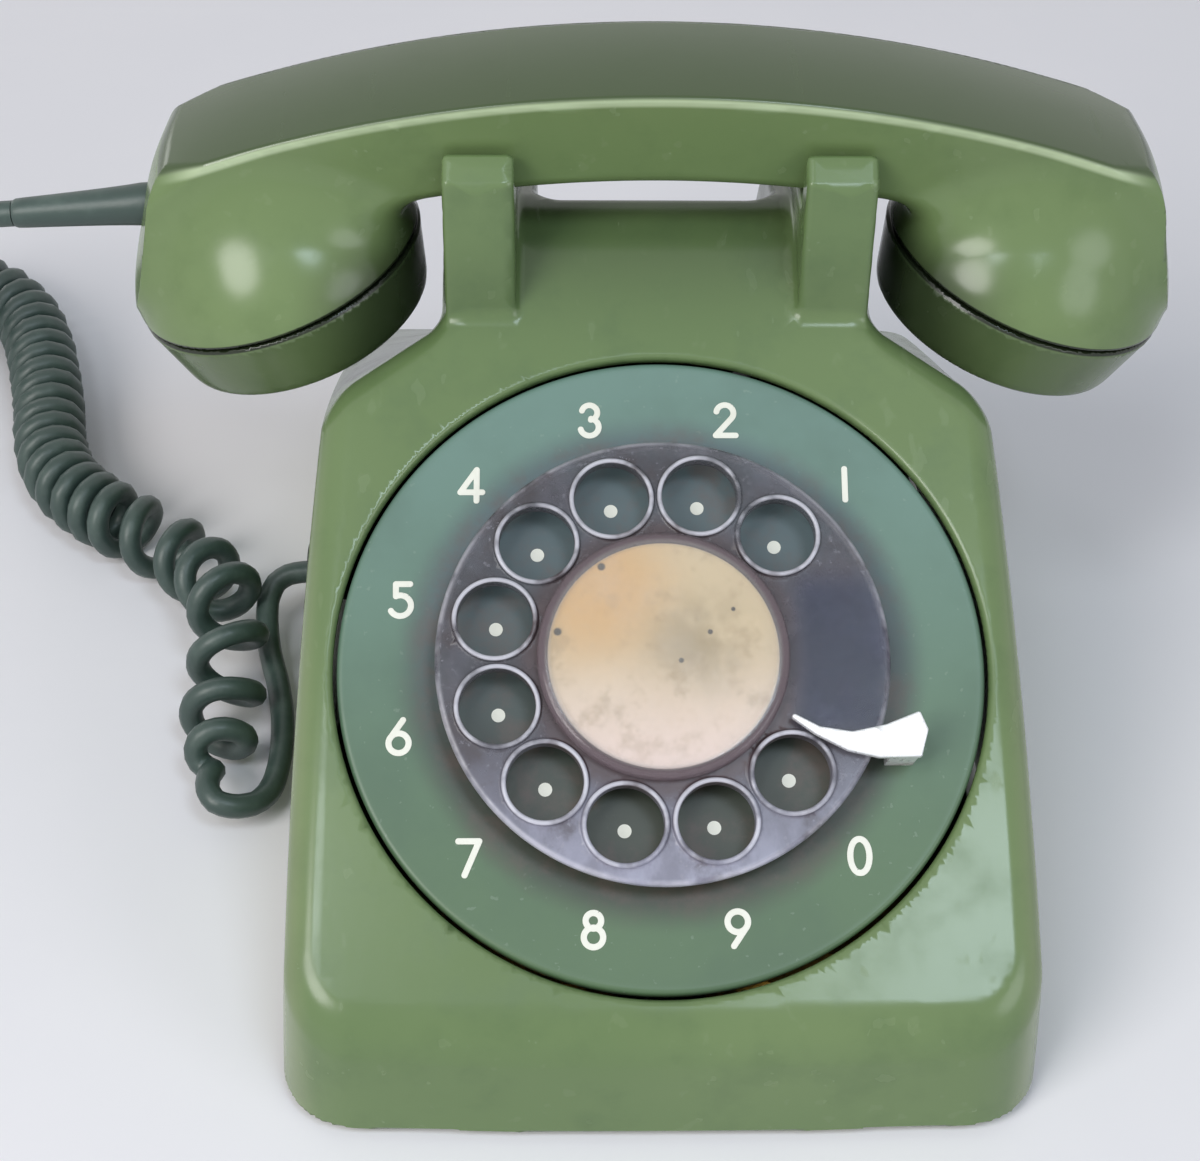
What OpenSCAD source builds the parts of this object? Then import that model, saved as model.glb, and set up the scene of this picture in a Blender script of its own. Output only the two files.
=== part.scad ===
// Rotary telephone: desk housing, dial, ringer, hook switch, handset and curly cord.
// Millimetres, +Z up, origin under the middle of the base, the front towards -Y.

/* [Housing] */
// Width of the housing at its foot
base_w = 138; // [132:1:150]
// Depth of the housing from front to rear
base_d = 210; // [204:1:225]
// How much further out the sides bow at their middle than at the corners
side_bow = 3; // [0:0.5:3]
// Corner radius of the housing in plan
corner_r = 12; // [9:0.5:16]
// Height of the crease between the front skirt and the dial face
skirt_h = 25.3; // [23:0.1:28]
// Lean of the front and rear skirts between the foot and the crease
skirt_lean = 1.5; // [0.5:0.1:2.5]
// Tilt of the dial face from level, in degrees
face_tilt = 32; // [31:0.5:33]
// Width across the shoulders at the top of the dial face
shoulder_w = 117.2; // [112:0.2:122]
// Distance from the dial centre back to the shoulders
shoulder_back = 43; // [40:0.5:46]
// How far the shoulders sweep back towards the neck
shoulder_sweep = 13.5; // [10:0.5:15]
// Width of the neck between the handset cups
neck_w = 78; // [77:0.5:82]
// Wall thickness of the housing
wall = 3; // [2:0.1:3.5]
// Edge rounding of the housing
edge_r = 5; // [4:0.1:6]
// Gap between the housing's lower edge and the table
foot_gap = 2.5; // [1:0.1:3]

/* [Cradle] */
// Width of one ear along the handle
ear_w = 12.7; // [11:0.1:13.5]
// Clear width between the left and right ears
ear_gap = 51.2; // [50:0.2:54]
// Height of the ears above the saddle they flank
ear_h = 13; // [9:0.5:16]
// Slack between the handle and an ear
ear_slack = 0.5; // [0.4:0.1:1]
// Width of the finger recess behind the crest
recess_w = 44; // [36:1:46]
// Height of the finger recess floor above the table
recess_floor = 80; // [78:1:86]

/* [Handset] */
// Distance of the handset's middle plane behind the middle of the base
handset_y = 28; // [26:0.5:31]
// Radius of the handle's back
handle_r = 246; // [235:1:260]
// Height of the handle's back above the table
handle_top = 134.3; // [132:0.1:137]
// Thickness of the handle
handle_t = 19.5; // [18:0.1:21]
// Width of the handle across its back
handle_w = 28; // [26:0.5:30]
// Width of the handle across its underside
handle_under_w = 22; // [20:0.5:24]
// Distance from the middle to the end of the handle's back
handle_half = 86.7; // [84:0.1:88]
// Distance from the middle to a cap's seam centre
cup_x = 70.5; // [69:0.5:72]
// Height of a cap's seam centre above the table
cup_z = 92.5; // [91.5:0.5:94]
// Radius of a cap at its seam
cup_r = 28; // [27.5:0.1:29]
// Lean of a cap's axis from upright, in degrees
cup_tilt = 18; // [16:0.5:20]
// Height of a cap below its seam
cap_h = 14; // [13:0.1:15]
// Radius of a cap at its outer end
cap_end_r = 25; // [24:0.1:26]
// Wall thickness of a cap
cap_wall = 2.5; // [1.8:0.1:3]

/* [Dial] */
// Distance of the dial centre in front of the middle of the base
dial_forward = 48.7; // [47:0.1:50]
// Radius of the opening in the housing for the dial
opening_r = 57; // [56:0.1:58]
// Clear ring between the number plate and the housing
plate_gap = 0.7; // [0.4:0.1:1.2]
// Thickness of the number plate
plate_t = 2; // [1.2:0.1:2.5]
// Depth of the number plate's face below the housing's face
plate_sink = 0.5; // [0.2:0.1:1]
// Outer radius of the finger wheel
wheel_r = 39; // [38:0.1:41]
// Thickness of the finger wheel
wheel_t = 2.5; // [2:0.1:3]
// Height of the finger wheel above the number plate
wheel_lift = 4.5; // [3.5:0.1:5.5]
// Number of finger holes
finger_holes = 10; // [10:1:10]
// Radius of a finger hole
finger_hole_r = 6.5; // [5.8:0.1:6.6]
// Radius of the circle the finger holes lie on
finger_ring_r = 29.5; // [29.2:0.1:30.4]
// Angle of the first finger hole from the right, in degrees
first_hole = 47; // [45:0.5:49]
// Step between neighbouring finger holes, in degrees
hole_step = 30; // [30:1:30]
// Height of the raised rim round each finger hole
rim_h = 0.8; // [0.4:0.1:1.2]
// Radius of the paper card in the middle of the wheel
card_r = 19.7; // [19:0.1:20]
// Thickness of the finger stop's arm
stop_t = 1.6; // [1.2:0.1:2]

/* [Gear train] */
// Teeth of the main gear
main_teeth = 72; // [72:1:72]
// Teeth of both small pinions
pinion_teeth = 12; // [12:1:12]
// Teeth of the pulse shaft's large gear
second_teeth = 48; // [48:1:48]
// Module of the first gear pair
first_module = 0.8; // [0.78:0.01:0.82]
// Module of the second gear pair
second_module = 0.6; // [0.58:0.01:0.62]
// Width of the gear teeth along the shafts
gear_w = 2.5; // [2:0.1:3]
// Radius of the main shaft
main_shaft_r = 3; // [2.5:0.1:3.5]
// Radius of the pulse and governor shafts
small_shaft_r = 1.2; // [1:0.1:1.5]
// Radial running clearance of every shaft
shaft_play = 0.05; // [0.03:0.01:0.08]
// Radius of the governor drum's inside
drum_r = 11.5; // [11:0.1:12]
// Radius of the dial chassis plate
chassis_r = 50; // [49.5:0.1:51]

/* [Base plate and inside] */
// Thickness of the steel base plate
base_t = 1.6; // [1.2:0.1:2]
// Clear gap between the base plate and the housing wall
base_slack = 0.6; // [0.4:0.1:1]
// Height of a rubber foot
foot_h = 4; // [3.9:0.1:5]
// Radius of a rubber foot
foot_r = 8; // [6:0.5:9]
// Radius of the large gong
gong_r = 25; // [23:0.1:26]
// Radius of the small gong
small_gong_r = 24; // [22:0.1:25]
// Distance between the gong centres
gong_span = 60; // [58:0.1:64]
// Height of a gong
gong_h = 13; // [10:0.5:14]
// Swing of the clapper to either side, in degrees
clapper_swing = 4; // [2:0.5:4]
// Radius of a hook plunger
plunger_r = 3; // [2.5:0.1:3.3]
// Radius of the ringer volume wheel
volume_r = 13; // [11:0.5:14]
// Length, width and height of the network block
network = [50, 34, 24]; // [20:1:50]

/* [Cord] */
// Thickness of the cord itself
cord_d = 4.8; // [4.8:0.1:4.8]
// Outer diameter of the curled part of the cord
curl_d = 17; // [17:0.5:17]
// Height of the cord's outlet in the housing above the table
outlet_z = 12.5; // [12:0.1:14]
// Distance of the line cord's inlet right of the middle of the rear
line_x = 25; // [15:1:40]

/* [Hidden] */
$fn = 64;

// Colours
green = "#6f7f4f";
clear = "#a9a6b4";
steel = "#b9bcc0";
brass = "#b8964f";
dark = "#3a423f";
white = "#eeeeea";
grey = "#8b8f92";
paper = "#dcc9a2";

// A hair that makes a cut run past a face
eps = 0.1;
// Depth that one form of a piece reaches into the next, so that they join
bite = 0.5;
// Length of a cutter that goes right through what it cuts
cut_l = 60;
// Clearance between pieces that lie against each other without a fit
near_gap = 0.3;

// Housing, derived
crease_y = -base_d / 2 + skirt_lean;
dial_z = skirt_h + (-dial_forward - crease_y) * tan(face_tilt);
foot_hw = base_w / 2;
corner_hw = foot_hw - side_bow;
foot_hd = base_d / 2;
rear_skirt_h = skirt_h + 1;
shoulder_plan_r = 9;
neck_root = 38;
neck_sink = 0.05;
crease_narrow = 2;
front_set = 0.55;
wall_cut = 12;
wall_cut_out = 5;
screw_boss_r = 4.5;
screw_boss_gap = 2;
face_w = [[-50, 64.2], [-25, 62.4]];
crest_back = 70.5;
ear_lip = 0.6;
ear_foot = 22;
ear_flare = [4.9, 8.1];
ear_flare_drop = 4;
channel_wall = 2.4;
channel_l = 30;
channel_front = 9;
channel_rear = 16;
plate_top = -plate_sink;

// Handset, derived
arc_z = handle_top - handle_r;
handle_end_angle = asin(handle_half / handle_r);
grip_angle = 12.5;
grip_stretches = 10;
joint_angle = 0.05;
ear_in = ear_gap / 2;
ear_out = ear_in + ear_w;
plunger_x = (ear_in + ear_out) / 2;
saddle_z = arc_z + sqrt(pow(handle_r - handle_t, 2) - pow(ear_out, 2)) - near_gap;
plunger_top = arc_z + sqrt(pow(handle_r - handle_t, 2) - pow(plunger_x + plunger_r, 2)) - near_gap;

// Dial heights above the housing's face, and places in the dial's own plane
wheel_z = plate_top + wheel_lift;
wheel_top = wheel_z + wheel_t;
card_rim_h = 1.5;
card_ledge = wheel_top + card_rim_h;
card_t = 0.3;
window_t = 1;
chassis_z = -8;
chassis_t = 2;
chassis_flat = -43;
boss_r = 7;
boss_foot = -14;
main_gear_z = -18;
second_gear_z = -22.5;
cam_z = -25;
drum_h = 8;
bridge_z = -34.5;
bridge_t = 1.5;
first_centre = first_module * (main_teeth + pinion_teeth) / 2;
second_centre = second_module * (second_teeth + pinion_teeth) / 2;
pulse_angle = 135;
governor_angle = 45;
pulse_x = first_centre * cos(pulse_angle);
pulse_y = first_centre * sin(pulse_angle);
governor_x = pulse_x + second_centre * cos(governor_angle);
governor_y = pulse_y + second_centre * sin(governor_angle);
bracket_x = 44.2;
bracket_t = 1.6;
bracket_y = [-1, 10];
bracket_rise = 4.2;
bracket_w = 16;
bracket_foot = 8;
bracket_lug = 4;
face_gap = 0.02;
small_screw_r = 1.4;
small_screw_l = 5;
small_head_r = 2.8;
small_head_t = 1.4;
tight_hole_r = 1.45;
loose_hole_r = 1.6;
plate_rim_h = 2;
plate_rim_t = 1.5;
boss_ring = 1;
stop_play = 0.4;
stop_lift = 0.5;
stop_outline = [[21.4, -10.6], [26, -12.6], [31.5, -13.4], [37, -12.2], [43, -10], [44.4, -13.2],
    [43, -17.9], [36, -18], [30.7, -16.8], [25.4, -14]];
boss_gap = 3.2;
plate_post_r = 2.5;
plate_post_in = 5;
spring_stud_r = 1.2;
spring_strip = 0.5;
spring_turns = 3;
spring_w = 4;
contact_back = [20, 8.3];
contact_block = [5, 6];
contact_strip = [12, 0.4, 1.8];
contact_pitch = 2.4;
bridge_w = 10;
bridge_end = 2.5;
bridge_post_r = 1.8;
bridge_post_gap = [4, 3.5];
drum_wall = 1;
finger_rim_w = 0.9;
card_rim_w = 2.4;
card_play = 0.1;
cover_wall = 1.7;
wheel_screw_head = [5, 1.2];
wheel_screw_l = 7;
wheel_seat_r = 6;
gear_hole_r = 5;
gear_hole_ring = 18;
cam_t = 1.8;
cam_lobe = [6.4, 2.4];
weight_h = 4;
weight_w = 8;
weight_hub_r = 3;
dial_screw_y = (bracket_y[0] + bracket_y[1]) / 2;
dial_screw_x = bracket_x - 2.2;

// Base plate, derived
base_z = foot_h;
base_top = base_z + base_t;
base_hw = corner_hw - wall - base_slack;
base_hd = foot_hd - wall - base_slack - skirt_lean / 2;
screw_y = foot_hd - 7.5;
screw_r = 1.5;
screw_play = 0.4;
screw_hold = 10;
screw_head_r = 4;
screw_head_t = 2;
slot_w = 1;
foot_head_t = 1.5;
foot_head_lip = 1.2;
outlet_play = 0.1;
flange_lip = 1.4;
outlet_bow_share = 0.6;
gong_bore = 1.7;
gong_wall = 1.3;
gong_post_r = 4;
gong_screw_head = [3.2, 1.5];
gong_screw_l = 7;
foot_x = foot_hw - 20;
foot_y = foot_hd - 20;
gong_x = gong_span / 2;
gong_inset = 3.65;
gong_y = -base_hd + gong_r + gong_inset;
gong_z = base_top + 4.5;
clapper_reach = gong_r + 8;
clapper_y = gong_y + clapper_reach + 1;
clapper_z = gong_z + 3;
striker_r = gong_x - gong_r - clapper_reach * sin(clapper_swing) - near_gap;
coil_y = clapper_y + 14;
coil_z = base_top + 13;
volume_x = base_hw - volume_r - 0.4;
volume_y = gong_y + 10;
hook_y = 56;
hook_z = 66;
arm_x = ear_in + 3;
roller_r = 3;
plunger_h = 16.4;
plunger_foot = [7, 16, 2];
roller_y = handset_y - 3;
roller_z = plunger_top - plunger_h - roller_r - 0.5;
cheek_x = recess_w / 2 + wall + 0.6;
cheek_t = 1.5;

pivot_r = 2;
foot_stem_r = 3;
flange_t = 2.4;
outlet_r = 4.6;
flange_seat = 1.8;
volume_shaft_r = 2.5;
network_x = -corner_hw + 7;
network_y = -8;
terminal_in = 8;
terminal_rows = [5, 2];
terminal_head = [2.4, 1.6];
terminal_r = 1.25;
terminal_l = 5;
frame_t = 1.5;
frame_d = 30;
frame_front = 4;
pole_t = 3;
pole_up = 6;
pole_back = 10;
coil_r = 9;
coil_flange = [10, 1.5];
core_out = 4;
clapper_t = 3;
clapper_hub_r = 3.2;
clapper_pin_r = 1.5;
clapper_rod_r = 0.8;
volume_t = 2;
volume_gap = 0.5;
volume_clip = [1.6, 1.2];
volume_notch_r = 0.9;
volume_notch_out = 0.4;
hook_foot_d = 20;
hook_cheek_d = 12;
hook_cheek_up = 4;
hook_plate_t = 1.5;
hook_arm_h = 4;
hook_pad = [6, 2, 16];
contact_stack = [18, 6, 14];
contact_leaf = [2, 0.5, 26];
contact_leaf_pitch = 4;
coil_hw = 20;
core_r = 3;
pole_gap = 3.6;
spring_end = 21;
stop_foot = [38, -17.5];
stop_foot_w = 5;
boot_r = 3.7;

// Cap frame: its seam is the plane z = 0, its outer end points down
shell_grip = 3;
neck_r = cup_r - 3.3;
capsule_r = 21.4;
bowl_r = 20;
bowl_out = 5;
bowl_up = 5.5;
boot_out = 17;
boot_up = 12;
boot_droop = 5;
boot_sink = 4;
boot_body = 4;
boot_taper = 27.2;
capsule_floor = -cap_h + cap_wall;
cup_bore_r = neck_r - 2.7;

// Routes of the cord, chosen by hand
base_end_route = [[-70.8, 28, 12.5], [-75, 27.6, 12.2], [-78, 26, 11], [-79.5, 22.5, 8.8],
    [-79.3, 17, 6.4], [-78, 10, 4.8], [-76, 3, 4.2], [-74.4, -5, 4], [-73.6, -13, 4],
    [-73.6, -21, 4.2], [-74.6, -28, 5], [-77.5, -33, 6.5], [-83, -34.5, 8.2], [-86, -31.4, 9],
    [-86, -27, 9]];
curl_route = [[-86, -27, 9], [-86, -19, 9], [-85.4, -11, 9.8], [-85, -3, 12], [-85.4, 5, 15],
    [-86.4, 13, 16.4], [-89, 20.5, 15.2], [-92.8, 27.5, 12.2], [-97.4, 34, 9.8], [-104, 40.5, 9],
    [-112, 46.5, 9], [-120, 52.5, 9], [-127, 59.5, 9], [-132, 68, 9], [-135, 78, 9],
    [-137, 89, 9], [-140, 101, 9], [-143.5, 113, 9], [-148.5, 124.5, 9], [-156.5, 133.5, 9.5],
    [-167, 137.5, 11.5], [-177.5, 134.5, 16], [-184.5, 126, 23], [-187.5, 114.5, 32],
    [-187, 102, 42], [-183, 89.5, 52.5], [-176.5, 77.5, 63], [-168, 66, 73], [-159, 55.5, 82]];
handset_end_route = [[-159, 55.5, 82], [-154, 50, 87.2], [-148.5, 44.5, 91.8], [-142, 38.5, 95.9],
    [-134.5, 31.5, 99.4], [-126.5, 28.3, 101.1], [-118.8, 28, 101.77]];

// ---------------------------------------------------------------- helpers

// Puts its children in the dial's plane: z = 0 is the housing's face
module on_dial() {
    translate([0, -dial_forward, dial_z]) rotate([face_tilt, 0, 0]) children();
}

// Puts its children in a cap's frame, side -1 on the left and 1 on the right
module on_cap(side) {
    translate([side * cup_x, handset_y, cup_z]) rotate([0, side * cup_tilt, 0]) children();
}

// Copies its children to the left and the right
module both_sides() {
    children();
    mirror([1, 0, 0]) children();
}

// A round cushion of a plan radius with a rounded rim
module puck(plan, rim, turn = 0) {
    rotate([turn, 0, 0]) rotate_extrude($fn = 32) intersection() {
        translate([plan - rim, 0]) circle(rim, $fn = 32);
        translate([0, -rim]) square([plan, 2 * rim]);
    }
}

// Height of the dial face at a depth y
function face_at(y) = dial_z + (y + dial_forward) * tan(face_tilt);

// Height of an edge rounding's centre below the dial face at a depth y
function top_at(y) = face_at(y) - edge_r / cos(face_tilt);

// Width of the involute at an angle, in degrees
function involute(angle) = tan(angle) * 180 / PI - angle;

// Outline of a spur gear with a tooth on the x axis
function gear_outline(teeth, module_size, play = 0.12) =
    let (pressure = 25,
        pitch = teeth * module_size / 2,
        base = pitch * cos(pressure),
        tip = pitch + 0.9 * module_size,
        root = pitch - 1.1 * module_size,
        start = max(base, root),
        half = 90 / teeth - play * module_size / pitch * 90 / PI + involute(pressure),
        flank = [for (k = [0:3]) let (r = start + (tip - start) * k / 3)
            [r, half - involute(acos(min(1, base / r)))]],
        side = concat([[root, flank[0][1] + 0.2]], flank))
    [for (i = [0:teeth - 1]) let (turn = i * 360 / teeth)
        each concat(
            [for (p = side) p[0] * [cos(turn - p[1]), sin(turn - p[1])]],
            [for (k = [4:-1:0]) let (p = side[k]) p[0] * [cos(turn + p[1]), sin(turn + p[1])]])];

module gear(teeth, module_size, width) {
    linear_extrude(width) polygon(gear_outline(teeth, module_size));
}

function unit(v) = v / norm(v);

// Direction of a route at its point i
function heading(route, i) =
    unit(route[min(i + 1, len(route) - 1)] - route[max(i - 1, 0)]);

// One ring of points round a route's point
function ring(route, i, r, sides) =
    let (along = heading(route, i),
        across = unit(cross(along, [0, 0, 1])),
        up = cross(across, along))
    [for (s = [0:sides - 1]) route[i] + r * (cos(360 * s / sides) * across + sin(360 * s / sides) * up)];

// A tube of even thickness swept along a route
module tube(route, d, sides = 10) {
    count = len(route);
    points = [for (i = [0:count - 1]) each ring(route, i, d / 2, sides)];
    walls = [for (i = [0:count - 2]) for (s = [0:sides - 1])
        let (a = i * sides + s, b = i * sides + (s + 1) % sides)
            each [[a, b, b + sides], [a, b + sides, a + sides]]];
    first = [for (s = [sides - 1:-1:0]) s];
    last = [for (s = [0:sides - 1]) (count - 1) * sides + s];
    polyhedron(points, concat([first], walls, [last]), convexity = 6);
}

// ---------------------------------------------------------------- housing

// Half width of the foot at a depth y
function foot_at(y) = foot_hw - side_bow * pow(y / (foot_hd - corner_r), 2);

// The wide lower body as one rounded wedge, shrunk by the wall for its inside
module body_form(shrink) {
    foot_plan = corner_r - shrink;
    edge = edge_r - shrink;
    front_y = crease_y + corner_r + front_set;
    shoulder_y = -dial_forward + shoulder_back - 7;
    sweep_y = shoulder_y + shoulder_sweep;
    end_y = foot_hd - corner_r;
    hull() {
        for (x = [-1, 1]) {
            for (y = [-1, -0.5, 0, 0.5, 1] * end_y)
                translate([x * (foot_at(y) - corner_r), y, foot_gap - shrink])
                    cylinder(h = 1, r = foot_plan, $fn = 32);
            translate([x * (corner_hw - crease_narrow - corner_r), front_y, top_at(front_y)])
                puck(corner_r - shrink, edge, face_tilt);
            for (p = face_w)
                translate([x * (p[1] - corner_r), p[0], top_at(p[0])])
                    puck(corner_r - shrink, edge, face_tilt);
            translate([x * (shoulder_w / 2 - shoulder_plan_r), shoulder_y, top_at(shoulder_y)])
                puck(shoulder_plan_r - shrink, edge, face_tilt);
            translate([x * (neck_w / 2 - shoulder_plan_r), sweep_y, top_at(sweep_y)])
                puck(shoulder_plan_r - shrink, edge, face_tilt);
            translate([x * (corner_hw - crease_narrow - corner_r), foot_hd - skirt_lean - corner_r,
                rear_skirt_h - edge_r])
                puck(corner_r - shrink, edge, -face_tilt);
        }
    }
}

// The narrow neck that carries the cradle, its face a hair below the body's
module neck_form(shrink) {
    reach = neck_w / 2 - edge_r;
    front_y = -dial_forward + shoulder_back - 12;
    crest_y = -dial_forward + crest_back;
    neck_rear = [[handset_y + 19, face_at(crest_y) - edge_r - 5], [handset_y + 36, recess_floor - 12],
        [handset_y + 42, neck_root], [front_y, neck_root]];
    hull() {
        for (x = [-reach, reach]) {
            for (y = [front_y, crest_y - edge_r])
                translate([x, y, top_at(y) - neck_sink]) puck(edge_r - shrink, edge_r - shrink, face_tilt);
            for (p = neck_rear)
                translate([x, p[0], p[1]]) sphere(edge_r - shrink, $fn = 32);
        }
    }
}

// The finger recess behind the crest, grown by the wall for its inside
module recess_form(grow) {
    reach = recess_w / 2 - edge_r;
    hull() {
        for (x = [-reach, reach]) {
            translate([x, handset_y + 6, recess_floor + edge_r]) sphere(edge_r + grow, $fn = 32);
            translate([x, handset_y + 2, recess_floor + 60]) sphere(edge_r + grow, $fn = 32);
            translate([x, handset_y + 60, recess_floor + edge_r]) sphere(edge_r + grow, $fn = 32);
            translate([x, handset_y + 60, recess_floor + 60]) sphere(edge_r + grow, $fn = 32);
        }
    }
}

// Front edge of the handle's slanted side at a height z, level with an ear's outer face
function handle_front(z) =
    let (r = sqrt(pow(ear_out, 2) + pow(z - arc_z, 2)))
    handset_y - handle_w / 2 + (handle_w - handle_under_w) / 2 * (handle_r - r) / handle_t;

// Side outline of one saddle with its front and rear ear
module saddle_outline() {
    top_z = saddle_z + ear_h;
    front = handle_front(top_z) - ear_slack - ear_lip;
    floor_y = handle_front(saddle_z) - ear_slack;
    mid = 2 * handset_y;
    half = [[front - ear_flare[1], saddle_z - ear_foot], [front - ear_flare[0], top_z - ear_flare_drop],
        [front, top_z], [floor_y, saddle_z]];
    polygon(concat(half, [for (i = [3:-1:0]) [mid - half[i][0], half[i][1]]]));
}

module saddle() {
    translate([ear_in, 0, 0]) rotate([90, 0, 90]) linear_extrude(ear_w) saddle_outline();
}

// The channel up through the saddle for the plunger and the lever's arm
module plunger_channel() {
    inside_w = ear_w - 2 * channel_wall;
    translate([ear_in + channel_wall, handset_y - channel_front, saddle_z - channel_l]) {
        cube([inside_w, 2 * channel_front, channel_l - channel_wall]);
        cube([inside_w, channel_front + channel_rear, channel_rear]);
    }
    translate([plunger_x, handset_y, saddle_z - 10])
        cylinder(h = 20, r = plunger_r + 2 * shaft_play);
}

module housing() {
    color(green) difference() {
        union() {
            difference() {
                union() {
                    body_form(0);
                    neck_form(0);
                }
                body_form(wall);
                difference() {
                    neck_form(wall);
                    recess_form(wall);
                }
                recess_form(0);
            }
            both_sides() saddle();
            for (y = [-1, 1])
                translate([0, y * screw_y, base_top])
                    cylinder(h = skirt_h - base_top - screw_boss_gap, r = screw_boss_r);
        }
        both_sides() plunger_channel();
        on_dial() translate([0, 0, -14]) cylinder(h = 40, r = opening_r, $fn = 128);
        for (y = [-1, 1])
            translate([0, y * screw_y, base_top - eps])
                cylinder(h = screw_hold + 2, r = screw_r + shaft_play);
        translate([-foot_hw - wall_cut_out, handset_y, outlet_z]) rotate([0, 90, 0])
            cylinder(h = wall_cut, r = outlet_r);
        translate([line_x, foot_hd + wall_cut_out, outlet_z]) rotate([90, 0, 0])
            cylinder(h = wall_cut, r = outlet_r);
    }
}

// ---------------------------------------------------------------- base

// A flat plate with round corners
module rounded_plate(half_w, half_d, r, t) {
    translate([-half_w + r, -half_d, 0]) cube([2 * (half_w - r), 2 * half_d, t]);
    translate([-half_w, -half_d + r, 0]) cube([2 * half_w, 2 * (half_d - r), t]);
    for (x = [-1, 1]) for (y = [-1, 1])
        translate([x * (half_w - r), y * (half_d - r), 0]) cylinder(h = t, r = r);
}

module at_feet() {
    for (x = [-1, 1]) for (y = [-1, 1]) translate([x * foot_x, y * foot_y, 0]) children();
}

module base_plate() {
    color(steel) difference() {
        translate([0, 0, base_z]) rounded_plate(base_hw, base_hd, corner_r - wall - base_slack, base_t);
        at_feet() cylinder(h = cut_l, r = foot_stem_r + shaft_play);
        for (y = [-1, 1]) translate([0, y * screw_y, 0]) cylinder(h = cut_l, r = screw_r + screw_play);
        translate([volume_x, volume_y, 0]) cylinder(h = cut_l, r = volume_shaft_r + shaft_play);
    }
}

module feet() {
    color(dark) at_feet() {
        cylinder(h = foot_h, r = foot_r);
        cylinder(h = base_top + bite, r = foot_stem_r);
        translate([0, 0, base_top]) cylinder(h = foot_head_t, r = foot_stem_r + foot_head_lip);
    }
}

module housing_screws() {
    color(steel) for (y = [-1, 1]) translate([0, y * screw_y, base_z - screw_head_t]) difference() {
        union() {
            cylinder(h = screw_head_t, r = screw_head_r);
            cylinder(h = screw_head_t + base_t + screw_hold, r = screw_r);
        }
        translate([-screw_head_r - 1, -slot_w / 2, -eps]) cube([2 * screw_head_r + 2, slot_w, slot_w]);
    }
}

// A rubber grommet along +Z with a flange inside, and one outside where it holds a cord
module grommet(depth, outer_flange) {
    difference() {
        union() {
            cylinder(h = depth, r = outlet_r - outlet_play);
            translate([0, 0, -flange_t]) cylinder(h = flange_t, r = outlet_r + flange_lip);
            if (outer_flange)
                translate([0, 0, depth - eps]) cylinder(h = flange_t + eps, r = outlet_r + flange_lip);
        }
        translate([0, 0, -cut_l / 2]) cylinder(h = cut_l, r = cord_d / 2 + shaft_play);
    }
}

module handset_cord_outlet() {
    inner_x = -foot_hw + wall + (flange_seat + side_bow) / 2;
    color(dark) translate([inner_x, handset_y, outlet_z]) rotate([0, -90, 0])
        grommet(wall + side_bow * outlet_bow_share, true);
}

module line_cord_inlet() {
    color(dark) translate([line_x, foot_hd - wall - skirt_lean - flange_seat, outlet_z]) rotate([-90, 0, 0])
        grommet(wall + skirt_lean + flange_seat / 2, false);
}

// ---------------------------------------------------------------- dial

module number_plate() {
    outer = opening_r - plate_gap;
    color(green) on_dial() difference() {
        union() {
            translate([0, 0, plate_top - plate_t]) cylinder(h = plate_t, r = outer, $fn = 128);
            translate([0, 0, plate_top - plate_t - plate_rim_h]) difference() {
                cylinder(h = plate_rim_h + bite, r = outer, $fn = 128);
                translate([0, 0, -eps])
                    cylinder(h = plate_rim_h + 1, r = outer - plate_rim_t, $fn = 128);
            }
        }
        translate([0, 0, -cut_l / 2]) cylinder(h = cut_l, r = boss_r + boss_ring);
        translate([stop_foot[0] - stop_play, stop_foot[1] - stop_play, -cut_l / 2])
            cube([stop_foot_w + 2 * stop_play, stop_foot_w + 2 * stop_play, cut_l]);
    }
}

module finger_stop() {
    arm_z = wheel_top + rim_h + stop_lift;
    foot_z = chassis_z + chassis_t;
    color(white) on_dial() {
        translate([0, 0, arm_z]) linear_extrude(stop_t) polygon(stop_outline);
        translate([stop_foot[0], stop_foot[1], foot_z])
            cube([stop_foot_w, stop_foot_w, arm_z - foot_z + bite]);
    }
}

module dial_chassis() {
    color(steel) on_dial() difference() {
        union() {
            intersection() {
                translate([0, 0, chassis_z]) cylinder(h = chassis_t, r = chassis_r);
                translate([-cut_l, chassis_flat, -cut_l]) cube(2 * cut_l);
            }
            translate([0, 0, boss_foot]) cylinder(h = -boss_foot - boss_gap, r = boss_r);
            for (a = [60, 180, 300])
                rotate([0, 0, a]) translate([chassis_r - plate_post_in, 0, chassis_z + chassis_t - bite])
                    cylinder(h = plate_top - plate_t - chassis_z - chassis_t + bite, r = plate_post_r);
            translate([spring_end, 0, boss_foot])
                cylinder(h = chassis_z - boss_foot + bite, r = spring_stud_r);
        }
        translate([0, 0, -cut_l / 2]) cylinder(h = cut_l, r = main_shaft_r + shaft_play);
        for (at = [[pulse_x, pulse_y], [governor_x, governor_y]])
            translate([at[0], at[1], -cut_l / 2]) cylinder(h = cut_l, r = small_shaft_r + shaft_play);
        for (x = [-1, 1])
            translate([x * dial_screw_x, dial_screw_y, -cut_l / 2]) cylinder(h = cut_l, r = loose_hole_r);
    }
}

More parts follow.
